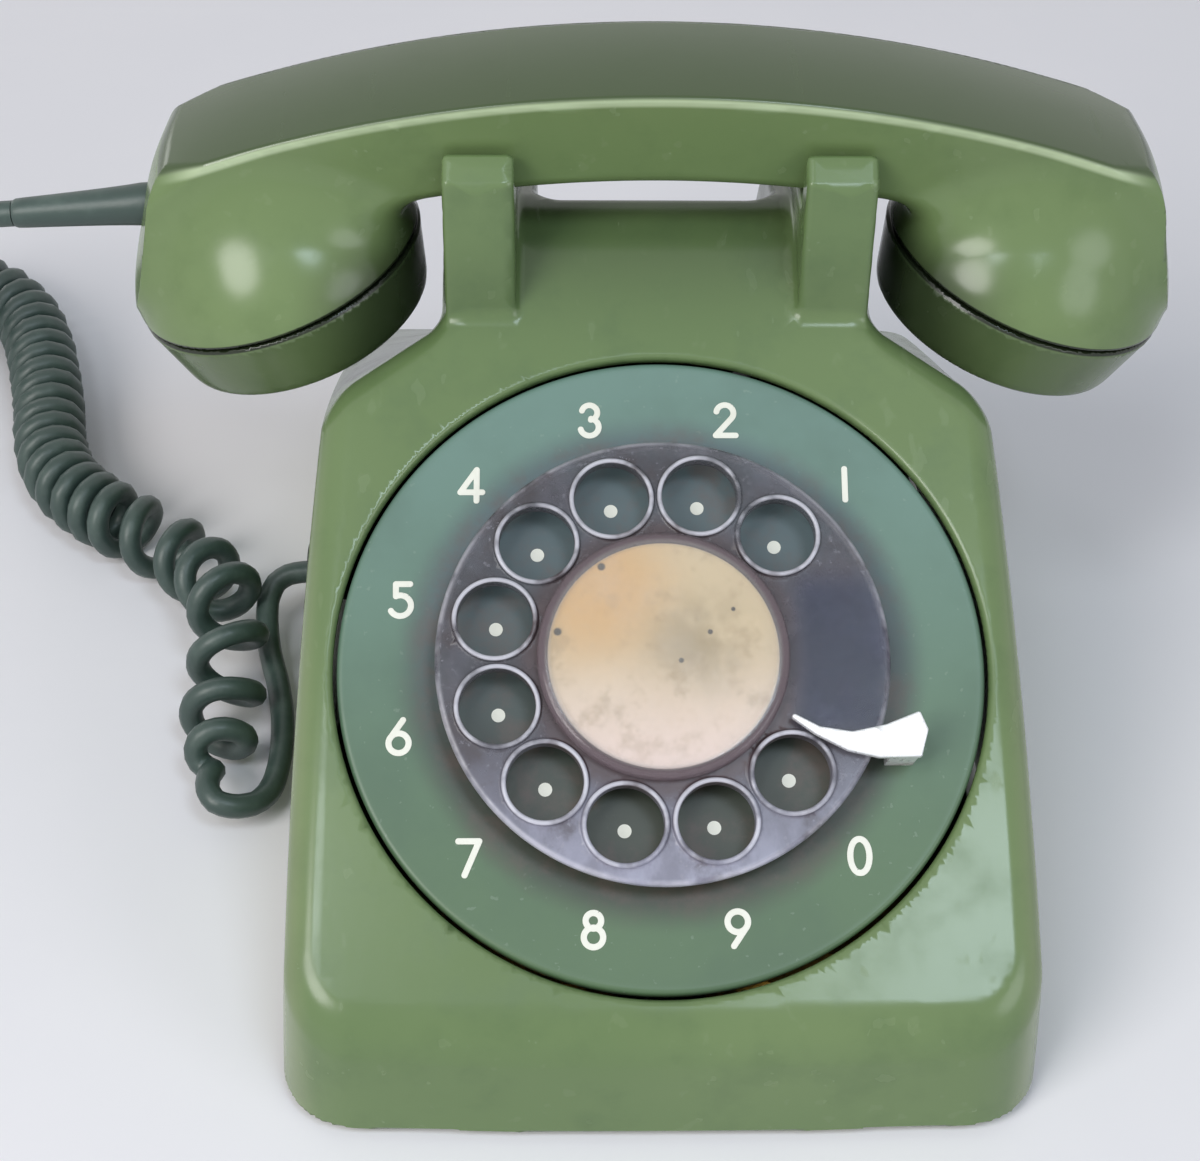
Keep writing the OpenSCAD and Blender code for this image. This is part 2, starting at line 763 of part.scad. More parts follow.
module dial_brackets() {
    low_y = -dial_forward + bracket_rise;
    high_y = low_y + bracket_w;
    under = chassis_z / cos(face_tilt) - face_gap;
    color(steel) both_sides() difference() {
        union() {
            translate([bracket_x, 0, 0]) rotate([90, 0, 90]) linear_extrude(bracket_t)
                polygon([[low_y, base_top], [high_y, base_top], [high_y, face_at(high_y) + under],
                    [low_y, face_at(low_y) + under]]);
            translate([bracket_x - bracket_foot, low_y, base_top])
                cube([bracket_foot + 1, bracket_w, bracket_t]);
            on_dial() translate([bracket_x - bracket_lug, bracket_y[0], chassis_z - bracket_t - face_gap])
                cube([bracket_lug + bite, bracket_y[1] - bracket_y[0], bracket_t]);
        }
        on_dial() translate([dial_screw_x, dial_screw_y, -cut_l / 2]) cylinder(h = cut_l, r = tight_hole_r);
    }
}

module dial_screws() {
    head_z = chassis_z + chassis_t;
    color(brass) on_dial() for (x = [-1, 1]) translate([x * dial_screw_x, dial_screw_y, head_z]) {
        cylinder(h = small_head_t, r = small_head_r);
        translate([0, 0, -small_screw_l]) cylinder(h = small_screw_l + bite, r = small_screw_r);
    }
}

// A spiral return spring between the chassis boss and its stud
module dial_spring() {
    first_r = boss_r + spring_strip;
    last_r = spring_end - spring_stud_r - 0.2;
    steps = spring_turns * 24;
    function at(k, side) = let (r = first_r + (last_r - first_r) * k / steps + side * spring_strip / 2)
        r * [cos(k * 15), sin(k * 15)];
    color(steel) on_dial() translate([0, 0, boss_foot + 1]) linear_extrude(spring_w)
        polygon(concat([for (k = [0:steps]) at(k, -1)], [for (k = [steps:-1:0]) at(k, 1)]));
}

module pulse_contacts() {
    block_x = pulse_x - contact_back[0];
    block_y = pulse_y - contact_back[1];
    block_z = cam_z - 2;
    color(brass) on_dial() {
        translate([block_x, block_y, block_z])
            cube([contact_block[0], contact_block[1], chassis_z - block_z]);
        for (k = [0, 1])
            translate([block_x + contact_block[0] - bite, block_y + 2 + contact_pitch * k, cam_z - 0.2])
                cube(contact_strip);
    }
}

// Puts its children on the line from the pulse shaft to the governor
module on_train() {
    on_dial() translate([pulse_x, pulse_y, 0]) rotate([0, 0, governor_angle]) children();
}

module gear_bridge() {
    near_x = -second_module * second_teeth / 2 - bridge_post_gap[0];
    far_x = second_centre + drum_r + bridge_post_gap[1];
    color(steel) on_train() difference() {
        union() {
            translate([near_x - bridge_end, -bridge_w / 2, bridge_z])
                cube([far_x - near_x + 2 * bridge_end, bridge_w, bridge_t]);
            for (x = [near_x, far_x]) translate([x, 0, bridge_z + bridge_t - bite])
                cylinder(h = chassis_z - bridge_z - bridge_t + bite, r = bridge_post_r);
        }
        for (x = [0, second_centre]) translate([x, 0, bridge_z - cut_l / 2])
            cylinder(h = cut_l, r = small_shaft_r + shaft_play);
    }
}

module governor_drum() {
    color(brass) on_train() translate([second_centre, 0, bridge_z + bridge_t]) difference() {
        cylinder(h = drum_h, r = drum_r + drum_wall);
        translate([0, 0, drum_wall]) cylinder(h = drum_h, r = drum_r);
        translate([0, 0, -eps]) cylinder(h = 2 * drum_wall, r = small_shaft_r + 1);
    }
}

// Copies its children to every finger hole
module at_finger_holes() {
    for (i = [0:finger_holes - 1])
        rotate([0, 0, first_hole + i * hole_step]) translate([finger_ring_r, 0, 0]) children();
}

module finger_wheel() {
    color(clear) on_dial() difference() {
        union() {
            translate([0, 0, wheel_z]) cylinder(h = wheel_t, r = wheel_r, $fn = 128);
            translate([0, 0, wheel_top - bite]) cylinder(h = card_rim_h + bite, r = card_r);
            at_finger_holes() translate([0, 0, wheel_top - bite])
                cylinder(h = rim_h + bite, r = finger_hole_r + finger_rim_w);
        }
        translate([0, 0, wheel_top]) cylinder(h = 2 * card_rim_h, r = card_r - card_rim_w);
        translate([0, 0, -cut_l / 2]) cylinder(h = cut_l, r = main_shaft_r);
        at_finger_holes() translate([0, 0, -cut_l / 2]) cylinder(h = cut_l, r = finger_hole_r);
    }
}

module number_card() {
    color(paper) on_dial() translate([0, 0, card_ledge]) cylinder(h = card_t, r = card_r);
}

module card_window() {
    inside = card_ledge + card_t + near_gap;
    color(clear) on_dial() difference() {
        translate([0, 0, wheel_top])
            cylinder(h = inside - wheel_top + window_t, r = card_r + card_play + cover_wall);
        translate([0, 0, wheel_top - eps]) cylinder(h = inside - wheel_top + eps, r = card_r + card_play);
    }
}

module wheel_screw() {
    color(brass) on_dial() {
        translate([0, 0, wheel_top]) cylinder(h = wheel_screw_head[1], r = wheel_screw_head[0]);
        translate([0, 0, wheel_top - wheel_screw_l]) cylinder(h = wheel_screw_l + bite, r = tight_hole_r);
    }
}

module main_shaft() {
    color(steel) on_dial() difference() {
        union() {
            translate([0, 0, main_gear_z - 2]) cylinder(h = wheel_top - main_gear_z + 2, r = main_shaft_r);
            translate([0, 0, near_gap - boss_gap - eps])
                cylinder(h = wheel_z + boss_gap + eps - near_gap, r = wheel_seat_r);
        }
        translate([0, 0, wheel_top - wheel_screw_l - 1]) cylinder(h = cut_l, r = screw_r);
    }
}

module main_gear() {
    color(brass) on_dial() rotate([0, 0, pulse_angle]) difference() {
        translate([0, 0, main_gear_z]) gear(main_teeth, first_module, gear_w);
        translate([0, 0, -cut_l / 2]) cylinder(h = cut_l, r = main_shaft_r);
        for (a = [0:60:300])
            rotate([0, 0, a]) translate([gear_hole_ring, 0, -cut_l / 2])
                cylinder(h = cut_l, r = gear_hole_r);
    }
}

module pulse_shaft() {
    color(brass) on_dial() translate([pulse_x, pulse_y, 0]) {
        translate([0, 0, bridge_z]) cylinder(h = chassis_z + chassis_t - bridge_z, r = small_shaft_r);
        translate([0, 0, main_gear_z - 0.5]) rotate([0, 0, pulse_angle + 180 + 180 / pinion_teeth])
            gear(pinion_teeth, first_module, gear_w + 1);
        translate([0, 0, second_gear_z]) rotate([0, 0, governor_angle])
            gear(second_teeth, second_module, gear_w);
    }
}

// A cam with two lobes, one pulse for each half turn
module pulse_cam() {
    color(white) on_dial() translate([pulse_x, pulse_y, cam_z]) difference() {
        union() {
            cylinder(h = cam_t, r = cam_lobe[1]);
            translate([-cam_lobe[0] / 2, -cam_lobe[1] / 2, 0]) cube([cam_lobe[0], cam_lobe[1], cam_t]);
        }
        translate([0, 0, -cut_l / 2]) cylinder(h = cut_l, r = small_shaft_r);
    }
}

module governor() {
    weight_z = bridge_z + bridge_t + 2;
    color(brass) on_train() translate([second_centre, 0, 0]) {
        translate([0, 0, bridge_z]) cylinder(h = chassis_z + chassis_t - bridge_z, r = small_shaft_r);
        translate([0, 0, second_gear_z - 0.5]) rotate([0, 0, 180 + 180 / pinion_teeth])
            gear(pinion_teeth, second_module, gear_w + 1);
        translate([0, 0, weight_z]) cylinder(h = weight_h + 1, r = weight_hub_r);
        translate([-drum_r + 1.5, -1, weight_z]) cube([2 * drum_r - 3, 2, weight_h]);
        intersection() {
            translate([0, 0, weight_z]) difference() {
                cylinder(h = weight_h, r = drum_r - 0.8);
                translate([0, 0, -1]) cylinder(h = weight_h + 2, r = drum_r - 4);
            }
            translate([-drum_r, -weight_w / 2, weight_z]) cube([2 * drum_r, weight_w, weight_h]);
        }
    }
}

// ---------------------------------------------------------------- inside

module at_terminals() {
    step_x = (network[0] - 2 * terminal_in) / (terminal_rows[0] - 1);
    step_y = (network[1] - 2 * terminal_in) / (terminal_rows[1] - 1);
    for (x = [0:terminal_rows[0] - 1]) for (y = [0:terminal_rows[1] - 1])
        translate([network_x + terminal_in + x * step_x, network_y + terminal_in + y * step_y,
            base_top + network[2]]) children();
}

module network_block() {
    color(grey) difference() {
        translate([network_x, network_y, base_top]) cube(network);
        at_terminals() translate([0, 0, -terminal_l - 1])
            cylinder(h = 2 * terminal_l, r = terminal_r + shaft_play);
    }
}

module terminal_screws() {
    color(brass) at_terminals() difference() {
        union() {
            cylinder(h = terminal_head[1], r = terminal_head[0]);
            translate([0, 0, -terminal_l]) cylinder(h = terminal_l + bite, r = terminal_r);
        }
        translate([-3, -0.4, 0.9]) cube([6, 0.8, 2]);
    }
}

module ringer_frame() {
    pole_y = clapper_y + pole_gap;
    color(steel) difference() {
        union() {
            translate([-coil_hw - pole_t, clapper_y - frame_front, base_top])
                cube([2 * (coil_hw + pole_t), frame_d, frame_t]);
            for (x = [-1, 1])
                translate([x * (coil_hw + near_gap + pole_t / 2) - pole_t / 2, pole_y, base_top])
                    cube([pole_t, coil_y + pole_back - pole_y, coil_z + pole_up - base_top]);
            translate([0, clapper_y, base_top])
                cylinder(h = clapper_z + clapper_t + bite - base_top, r = clapper_pin_r);
        }
        translate([-cut_l, coil_y, coil_z]) rotate([0, 90, 0])
            cylinder(h = 2 * cut_l, r = core_r + shaft_play);
    }
}

module ringer_coil() {
    color("#7a3b2a") translate([0, coil_y, coil_z]) rotate([0, 90, 0]) {
        translate([0, 0, -coil_hw]) cylinder(h = 2 * coil_hw, r = coil_r);
        for (x = [-coil_hw, coil_hw - coil_flange[1]])
            translate([0, 0, x]) cylinder(h = coil_flange[1], r = coil_flange[0]);
        translate([0, 0, -coil_hw - core_out]) cylinder(h = 2 * (coil_hw + core_out), r = core_r);
    }
}

// A bell shaped cup, its rim down
module gong(r) {
    crown = gong_h - gong_wall;
    color(brass) rotate_extrude() polygon([[gong_bore, gong_h], [r * 0.45, gong_h], [r * 0.8, gong_h - 2],
        [r * 0.94, gong_h - 5], [r, 0], [r - 1.2, 0], [r * 0.94 - gong_wall, gong_h - 5.6],
        [r * 0.8 - 0.8, gong_h - 3.2], [r * 0.45, crown], [gong_bore, crown]]);
}

module gong_large() {
    translate([-gong_x, gong_y, gong_z]) gong(gong_r);
}

module gong_small() {
    translate([gong_x, gong_y, gong_z]) gong(small_gong_r);
}

module gong_posts() {
    color(steel) for (x = [-1, 1]) translate([x * gong_x, gong_y, base_top]) difference() {
        cylinder(h = gong_z + gong_h - gong_wall - base_top, r = gong_post_r);
        translate([0, 0, gong_z + gong_h - gong_screw_l - 2 - base_top]) cylinder(h = cut_l, r = screw_r);
    }
}

module gong_screws() {
    color(steel) for (x = [-1, 1]) translate([x * gong_x, gong_y, gong_z + gong_h]) {
        cylinder(h = gong_screw_head[1], r = gong_screw_head[0]);
        translate([0, 0, -gong_screw_l]) cylinder(h = gong_screw_l + bite, r = tight_hole_r);
    }
}

module clapper() {
    color(steel) translate([0, clapper_y, clapper_z]) difference() {
        union() {
            translate([0, 0, -clapper_t / 2]) cylinder(h = clapper_t, r = clapper_hub_r);
            translate([-coil_hw, -clapper_t / 2, -clapper_t / 2]) cube([2 * coil_hw, clapper_t, clapper_t]);
            rotate([90, 0, 0]) translate([0, 0, 1]) cylinder(h = clapper_reach - 1, r = clapper_rod_r);
            translate([0, -clapper_reach, -clapper_t / 2]) cylinder(h = clapper_t, r = striker_r);
        }
        translate([0, 0, -cut_l / 2]) cylinder(h = cut_l, r = clapper_pin_r + shaft_play);
    }
}

module volume_wheel() {
    foot = base_z - volume_gap - volume_t;
    clip_z = base_top + near_gap;
    color(dark) translate([volume_x, volume_y, 0]) difference() {
        union() {
            translate([0, 0, foot]) cylinder(h = volume_t, r = volume_r);
            translate([0, 0, foot]) cylinder(h = clip_z - foot + bite, r = volume_shaft_r);
            translate([0, 0, clip_z]) cylinder(h = volume_clip[1], r = volume_shaft_r + volume_clip[0]);
        }
        for (a = [0:15:345]) rotate([0, 0, a])
            translate([volume_r + volume_notch_out, 0, foot - 1])
                cylinder(h = 2 * volume_t, r = volume_notch_r);
    }
}

// ---------------------------------------------------------------- hook switch

module hook_bracket() {
    outer = cheek_x + cheek_t;
    color(steel) difference() {
        union() {
            translate([-outer, hook_y - hook_foot_d / 2, base_top]) cube([2 * outer, hook_foot_d, cheek_t]);
            both_sides() translate([cheek_x, hook_y - hook_cheek_d / 2, base_top])
                cube([cheek_t, hook_cheek_d, hook_z + hook_cheek_up - base_top]);
        }
        translate([-cut_l, hook_y, hook_z]) rotate([0, 90, 0])
            cylinder(h = 2 * cut_l, r = pivot_r + shaft_play);
    }
}

module hook_lever() {
    arm = norm([hook_y - roller_y, roller_z - hook_z]);
    lean = atan2(roller_z - hook_z, hook_y - roller_y);
    color(steel) {
        translate([-arm_x - hook_plate_t, hook_y, hook_z]) rotate([0, 90, 0])
            cylinder(h = 2 * (arm_x + hook_plate_t), r = pivot_r);
        translate([-hook_pad[0] / 2, hook_y - hook_pad[1] / 2, hook_z - hook_pad[2]]) cube(hook_pad);
        both_sides() {
            translate([arm_x, hook_y, hook_z]) rotate([-lean, 0, 0]) {
                translate([0, -arm, -hook_arm_h / 2]) cube([hook_plate_t, arm, hook_arm_h]);
                rotate([0, 90, 0]) cylinder(h = hook_plate_t, r = hook_arm_h);
            }
            translate([arm_x, roller_y, roller_z]) rotate([0, 90, 0])
                cylinder(h = plunger_x + roller_r - arm_x, r = roller_r);
        }
    }
}

module hook_contacts() {
    low = base_top + cheek_t;
    color(brass) {
        translate([-contact_stack[0] / 2, hook_y - 9, low]) cube(contact_stack);
        for (k = [0:3])
            translate([-7 + k * contact_leaf_pitch, hook_y - 7.5, low + contact_stack[2] - bite])
                cube(contact_leaf);
    }
}

module plunger(x) {
    color(white) translate([x, handset_y, plunger_top - plunger_h]) {
        translate([-plunger_foot[0] / 2, -plunger_foot[1] / 2, 0]) cube(plunger_foot);
        cylinder(h = plunger_h, r = plunger_r);
    }
}

module plunger_left() {
    plunger(-plunger_x);
}

module plunger_right() {
    plunger(plunger_x);
}

// ---------------------------------------------------------------- handset

// Part of the handle's arc to the right, between two angles from upright
module handle_arc(from, to, grow = 0) {
    inner = handle_r - handle_t - grow;
    half = handle_w / 2 + grow;
    under = handle_under_w / 2 + grow;
    crown = grow < 0 ? 0 : 0.8;
    translate([0, handset_y, arc_z]) rotate([90, 0, 0]) rotate([0, 0, 90 - to])
        rotate_extrude(angle = to - from, $fn = 180)
            polygon([[inner, -under], [handle_r + grow, -half], [handle_r + grow + 0.75 * crown, -half / 2],
                [handle_r + grow + crown, 0], [handle_r + grow + 0.75 * crown, half / 2],
                [handle_r + grow, half], [inner, under]]);
}

// One end of the shell, from the handle down to the seam
module bowl(side) {
    hull() {
        on_cap(side) {
            cylinder(h = 0.5, r = cup_r, $fn = 64);
            translate([0, 0, 4]) cylinder(h = 0.5, r = cup_r - 1, $fn = 48);
        }
        translate([side * (cup_x + bowl_out), handset_y, cup_z + bowl_up]) sphere(bowl_r, $fn = 32);
        mirror([side < 0 ? 1 : 0, 0, 0]) handle_arc(grip_angle, handle_end_angle);
    }
}

// Frame of the cord boot, its axis pointing out of the handset's left end
module on_boot() {
    translate([-cup_x - boot_out, handset_y, cup_z + boot_up]) rotate([0, -90 - boot_droop, 0]) children();
}

// The handle between the bowls, as a row of short straight stretches
module grip() {
    stretch = 2 * grip_angle / grip_stretches;
    for (i = [0:grip_stretches - 1]) {
        from = -grip_angle + i * stretch;
        hull() {
            handle_arc(from, from + joint_angle);
            handle_arc(from + stretch, from + stretch + joint_angle);
        }
    }
}

module handset_shell() {
    color(green) difference() {
        union() {
            grip();
            bowl(-1);
            bowl(1);
        }
        handle_arc(-16.5, 16.5, -3);
        for (side = [-1, 1]) on_cap(side) {
            translate([0, 0, -20]) cylinder(h = 20, r = 60);
            translate([0, 0, -1]) cylinder(h = shell_grip + 1, r = neck_r + 0.1);
            translate([0, 0, -1]) cylinder(h = 9.5, r = cup_bore_r);
            translate([0, 0, -1]) cylinder(h = 16, r = 16);
        }
        on_boot() translate([0, 0, -12]) cylinder(h = 30, r = boot_r + shaft_play);
    }
}

// A screw cap, its threaded neck on top; holes at a radius let the sound through
module cap(hole_r, ring_r) {
    difference() {
        rotate_extrude() polygon([[0, -cap_h], [cap_end_r - 2, -cap_h], [cap_end_r - 0.6, -cap_h + 0.6],
            [cap_end_r, -cap_h + 2], [cup_r - 0.4, -2.4], [cup_r, -0.3], [neck_r, -0.3], [neck_r, 1.5],
            [neck_r - 1.7, 1.5], [neck_r - 1.7, capsule_floor], [0, capsule_floor]]);
        for (a = [0:60:300]) rotate([0, 0, a]) translate([ring_r, 0, -cap_h - 1]) cylinder(h = 8, r = hole_r);
        translate([0, 0, -cap_h - 1]) cylinder(h = 8, r = hole_r);
    }
}

module mouthpiece_cap() {
    color(green) on_cap(-1) cap(1.3, 7);
}

module earpiece_cap() {
    color(green) on_cap(1) cap(1.6, 5.5);
}

// A round capsule, its face down in the cap
module capsule() {
    translate([0, 0, capsule_floor]) cylinder(h = 6, r = capsule_r);
    translate([0, 0, capsule_floor + 5.5]) cylinder(h = 4.5, r = capsule_r - 3);
}

// The plastic cup that holds a capsule down and carries its contacts
module capsule_cup() {
    difference() {
        union() {
            translate([0, 0, capsule_floor + 10]) cylinder(h = 8.5, r = cup_bore_r - 0.5);
            translate([0, 0, 1.6]) cylinder(h = shell_grip - 1.7, r = neck_r - 0.1);
        }
        translate([0, 0, 1]) cylinder(h = 12, r = cup_bore_r - 2.2);
    }
}

module transmitter() {
    color(grey) on_cap(-1) capsule();
}

module transmitter_cup() {
    color(dark) on_cap(-1) capsule_cup();
}

module receiver() {
    color(grey) on_cap(1) capsule();
}

module receiver_cup() {
    color(dark) on_cap(1) capsule_cup();
}

module cord_boot() {
    color(dark) on_boot() {
        translate([0, 0, -boot_sink]) cylinder(h = boot_sink + boot_body, r = boot_r);
        translate([0, 0, boot_body]) cylinder(h = boot_taper, r1 = boot_r, r2 = cord_d / 2 + 0.2);
    }
}

// ---------------------------------------------------------------- cord

module cord_base_end() {
    color(dark) tube(base_end_route, cord_d);
}

module cord_curl() {
    color(dark) tube(curl_route, curl_d, 12);
}

module cord_handset_end() {
    color(dark) tube(handset_end_route, cord_d);
}

housing();
base_plate();
feet();
housing_screws();
number_plate();
finger_stop();
dial_chassis();
dial_brackets();
dial_screws();
dial_spring();
pulse_contacts();
gear_bridge();
governor_drum();
finger_wheel();
number_card();
card_window();
wheel_screw();
main_shaft();
main_gear();
pulse_shaft();
pulse_cam();
governor();
network_block();
terminal_screws();
ringer_frame();
ringer_coil();
gong_large();
gong_small();
gong_posts();
gong_screws();
clapper();
volume_wheel();
hook_bracket();
hook_lever();
hook_contacts();
plunger_left();
plunger_right();
handset_cord_outlet();
line_cord_inlet();
handset_shell();
mouthpiece_cap();
transmitter();
transmitter_cup();
earpiece_cap();
receiver();
receiver_cup();
cord_boot();
cord_base_end();
cord_curl();
cord_handset_end();
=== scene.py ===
"""Rotary desk telephone: pieces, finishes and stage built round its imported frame."""

import math

import bmesh
import bpy
import numpy as np
import openvdb
from bpy.props import FloatProperty, FloatVectorProperty, IntProperty, PointerProperty
from mathutils import Matrix, Vector


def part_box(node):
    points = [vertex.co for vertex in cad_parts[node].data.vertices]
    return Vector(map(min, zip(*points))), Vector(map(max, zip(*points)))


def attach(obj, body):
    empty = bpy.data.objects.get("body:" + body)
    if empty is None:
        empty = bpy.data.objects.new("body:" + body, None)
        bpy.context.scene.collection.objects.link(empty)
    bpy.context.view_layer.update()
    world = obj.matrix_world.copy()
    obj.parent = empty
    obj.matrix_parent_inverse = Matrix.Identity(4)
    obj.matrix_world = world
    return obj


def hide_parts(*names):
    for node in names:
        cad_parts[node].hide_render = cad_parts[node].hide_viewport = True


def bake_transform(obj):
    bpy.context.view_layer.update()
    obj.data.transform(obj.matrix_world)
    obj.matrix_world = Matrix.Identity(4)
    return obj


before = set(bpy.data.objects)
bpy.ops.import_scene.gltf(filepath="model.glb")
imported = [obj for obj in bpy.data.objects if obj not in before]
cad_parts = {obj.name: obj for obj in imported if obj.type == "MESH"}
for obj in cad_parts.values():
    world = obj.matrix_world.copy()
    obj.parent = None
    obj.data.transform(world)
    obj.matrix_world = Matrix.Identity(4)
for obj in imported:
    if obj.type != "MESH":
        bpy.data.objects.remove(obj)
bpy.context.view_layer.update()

bl_info = {
    "name": "Rotary Telephone",
    "version": (1, 0, 0),
    "blender": (4, 5, 0),
    "location": "View3D > Sidebar > Telephone",
    "description": "Builds the visible pieces and finishes of a rotary desk telephone",
    "category": "Add Mesh",
}

MM = 0.001

# A skin's grid step in millimetres and how freely flat stretches merge
HOUSING_GRID, HANDSET_GRID, WHEEL_GRID = (0.75, 0.012), (0.48, 0.008), (0.3, 0.01)
STOP_GRID, DIGIT_GRID = (0.28, 0.01), (0.11, 0.02)

# Sizes and places below are in millimetres, angles in degrees unless they are turned to radians

# The dial: its middle on the face, the face's tilt, and heights above the face
DIAL = np.array([0.0, -48.7, 59.543])
TILT = math.radians(32)
COS_TILT, SIN_TILT = math.cos(TILT), math.sin(TILT)
PLATE_TOP = -0.5
WHEEL_R, WHEEL_FOOT, WHEEL_TOP = 39.0, 4.0, 6.5
HOLE_RING, HOLE_R, FIRST_HOLE, HOLE_STEP = 29.5, 6.5, 47.0, 30
RIM_TOP, RIM_W = 7.3, 0.9
CARD_R, CARD_FOOT, CARD_TOP = 19.7, 8.0, 8.3
CARD_SEAT_R, SHAFT_R = 17.3, 3.0
DIGIT_RING, FIRST_DIGIT, DIGIT_SIZE = 46.9, 45.2, 0.93

# The handset: the arcs of its back and underside about one centre, and a cup with its cap at each end
HANDSET_Y = 28.0
ARC_Z, ARC_R, ARC_UNDER = -111.7, 246.0, 226.5
BAR_HALF = 14
CUP_R = 28.0
CAP = (70.5, 92.5)
CAP_TILT = math.radians(18)
CAP_DEPTH, SOUND_HOLE_DEPTH = 14, 3.4

# The housing: its foot, neck, cradle ears, finger recess, screw posts and openings
FOOT_Z, FOOT_HALF_W, FOOT_HALF_D = 2.5, 69, 105
WALL = 3
NECK_HALF = 39
EAR_X, EAR_HALF, EAR_HOLLOW, EAR_FLOOR = 31.95, 6.35, 3.95, 81.24
RECESS_HALF, RECESS_Z = 22, 80
SCREW_Y, SCREW_HOLE_R, POST_R = 97.5, 1.6, 4.5
OPENING_R = 57
CORD_HOLE, LINE_HOLE, CORD_HOLE_R = (28, 12.5), (25, 12.5), 4.6


# ---------------------------------------------------------------- solids from fields
# A field gives the distance to a surface in millimetres, less than zero inside it.


def blend_min(a, b, r):
    """Union of two fields with a fillet of radius r in the corner between them."""
    return np.maximum(r, np.minimum(a, b)) - np.hypot(np.maximum(r - a, 0), np.maximum(r - b, 0))


def blend_max(a, b, r):
    """Common part of two fields, its outer edge rounded to radius r."""
    return np.minimum(-r, np.maximum(a, b)) + np.hypot(np.maximum(r + a, 0), np.maximum(r + b, 0))


def carve(a, b, r):
    """First field less the second one, the edge rounded to radius r."""
    return blend_max(a, -b, r)


def cut(a, b):
    """First field less the second one, the edge sharp."""
    return np.maximum(a, -b)


def common(*fields):
    """Common part of several fields, its edges sharp."""
    whole = fields[0]
    for field in fields[1:]:
        whole = np.maximum(whole, field)
    return whole


def polygon_field(points, u, v):
    """Distance to a closed polygon in the plane of u and v."""
    near = None
    inside = None
    for (au, av), (bu, bv) in zip(points, points[1:] + points[:1]):
        eu, ev = bu - au, bv - av
        pu, pv = u - au, v - av
        t = np.clip((pu * eu + pv * ev) / (eu * eu + ev * ev), 0, 1)
        d = (pu - t * eu) ** 2 + (pv - t * ev) ** 2
        crosses = ((v < av) != (v < bv)) & ((pu * ev - pv * eu > 0) != (bv < av))
        near = d if near is None else np.minimum(near, d)
        inside = crosses if inside is None else inside ^ crosses
    return np.where(inside, -1.0, 1.0) * np.sqrt(near)


def inset(points, d):
    """A convex or gently hollow polygon, wound left, with each side moved in by d."""
    count = len(points)
    lines = []
    for i in range(count):
        (au, av), (bu, bv) = points[i], points[(i + 1) % count]
        length = math.hypot(bu - au, bv - av)
        nu, nv = -(bv - av) / length, (bu - au) / length
        lines.append((nu, nv, nu * (au + nu * d) + nv * (av + nv * d)))
    result = []
    for i in range(count):
        (a, b, c), (e, f, g) = lines[i - 1], lines[i]
        det = a * f - b * e
        result.append(((c * f - b * g) / det, (a * g - c * e) / det))
    return result


def slope(field, points):
    """Value and gradient of a field at an array of points."""
    reach = 0.02
    value = field(*points.T)
    grads = []
    for axis in range(3):
        step = np.zeros(3)
        step[axis] = reach
        grads.append((field(*(points + step).T) - field(*(points - step).T)) / (2 * reach))
    return value, np.stack(grads, axis=1)


def skin(name, field, low, high, step, adapt=0.0):
    """Plain mesh of a field's surface inside a box, with the field's own normals."""
    low = np.array(low, float) - 2 * step
    counts = np.ceil((np.array(high, float) + 2 * step - low) / step).astype(int) + 1
    x, y, z = (low[i] + step * np.arange(counts[i], dtype=np.float32) for i in range(3))
    grid_x, grid_y, grid_z = x[:, None, None], y[None, :, None], z[None, None, :]
    values = np.broadcast_to(field(grid_x, grid_y, grid_z), counts).astype(np.float32)
    grid = openvdb.FloatGrid(3.0)
    grid.copyFromArray(np.clip(values / step, -3, 3))
    points, triangles, quads = grid.convertToPolygons(0.0, adapt)
    points = low + points.astype(float) * step
    for _ in range(3):
        value, grad = slope(field, points)
        size = np.maximum((grad**2).sum(1), 0.05)
        move = grad * (value / size)[:, None]
        length = np.linalg.norm(move, axis=1)
        move *= np.minimum(1, 0.7 * step / np.maximum(length, 1e-9))[:, None]
        points -= move
    grad = slope(field, points)[1]
    normals = grad / np.maximum(np.linalg.norm(grad, axis=1), 1e-9)[:, None]
    corners = points[quads]
    facing = np.cross(corners[:, 2] - corners[:, 0], corners[:, 3] - corners[:, 1])
    if (facing * normals[quads[:, 0]]).sum() < 0:
        quads, triangles = quads[:, ::-1], triangles[:, ::-1]
    return new_mesh(name, points * MM, quads.tolist() + triangles.tolist(), normals)


def add_object(name, data):
    """Links a new object at the origin to the scene."""
    piece = bpy.data.objects.new(name, data)
    bpy.context.scene.collection.objects.link(piece)
    return piece


def new_mesh(name, points, faces, normals=None):
    """An object at the origin with a smooth mesh of points in metres."""
    mesh = bpy.data.meshes.new(name)
    mesh.from_pydata(np.asarray(points).tolist(), [], faces)
    mesh.validate()
    mesh.polygons.foreach_set("use_smooth", [True] * len(mesh.polygons))
    if normals is not None:
        mesh.normals_split_custom_set_from_vertices(np.asarray(normals).tolist())
    mesh.update()
    return add_object(name, mesh)


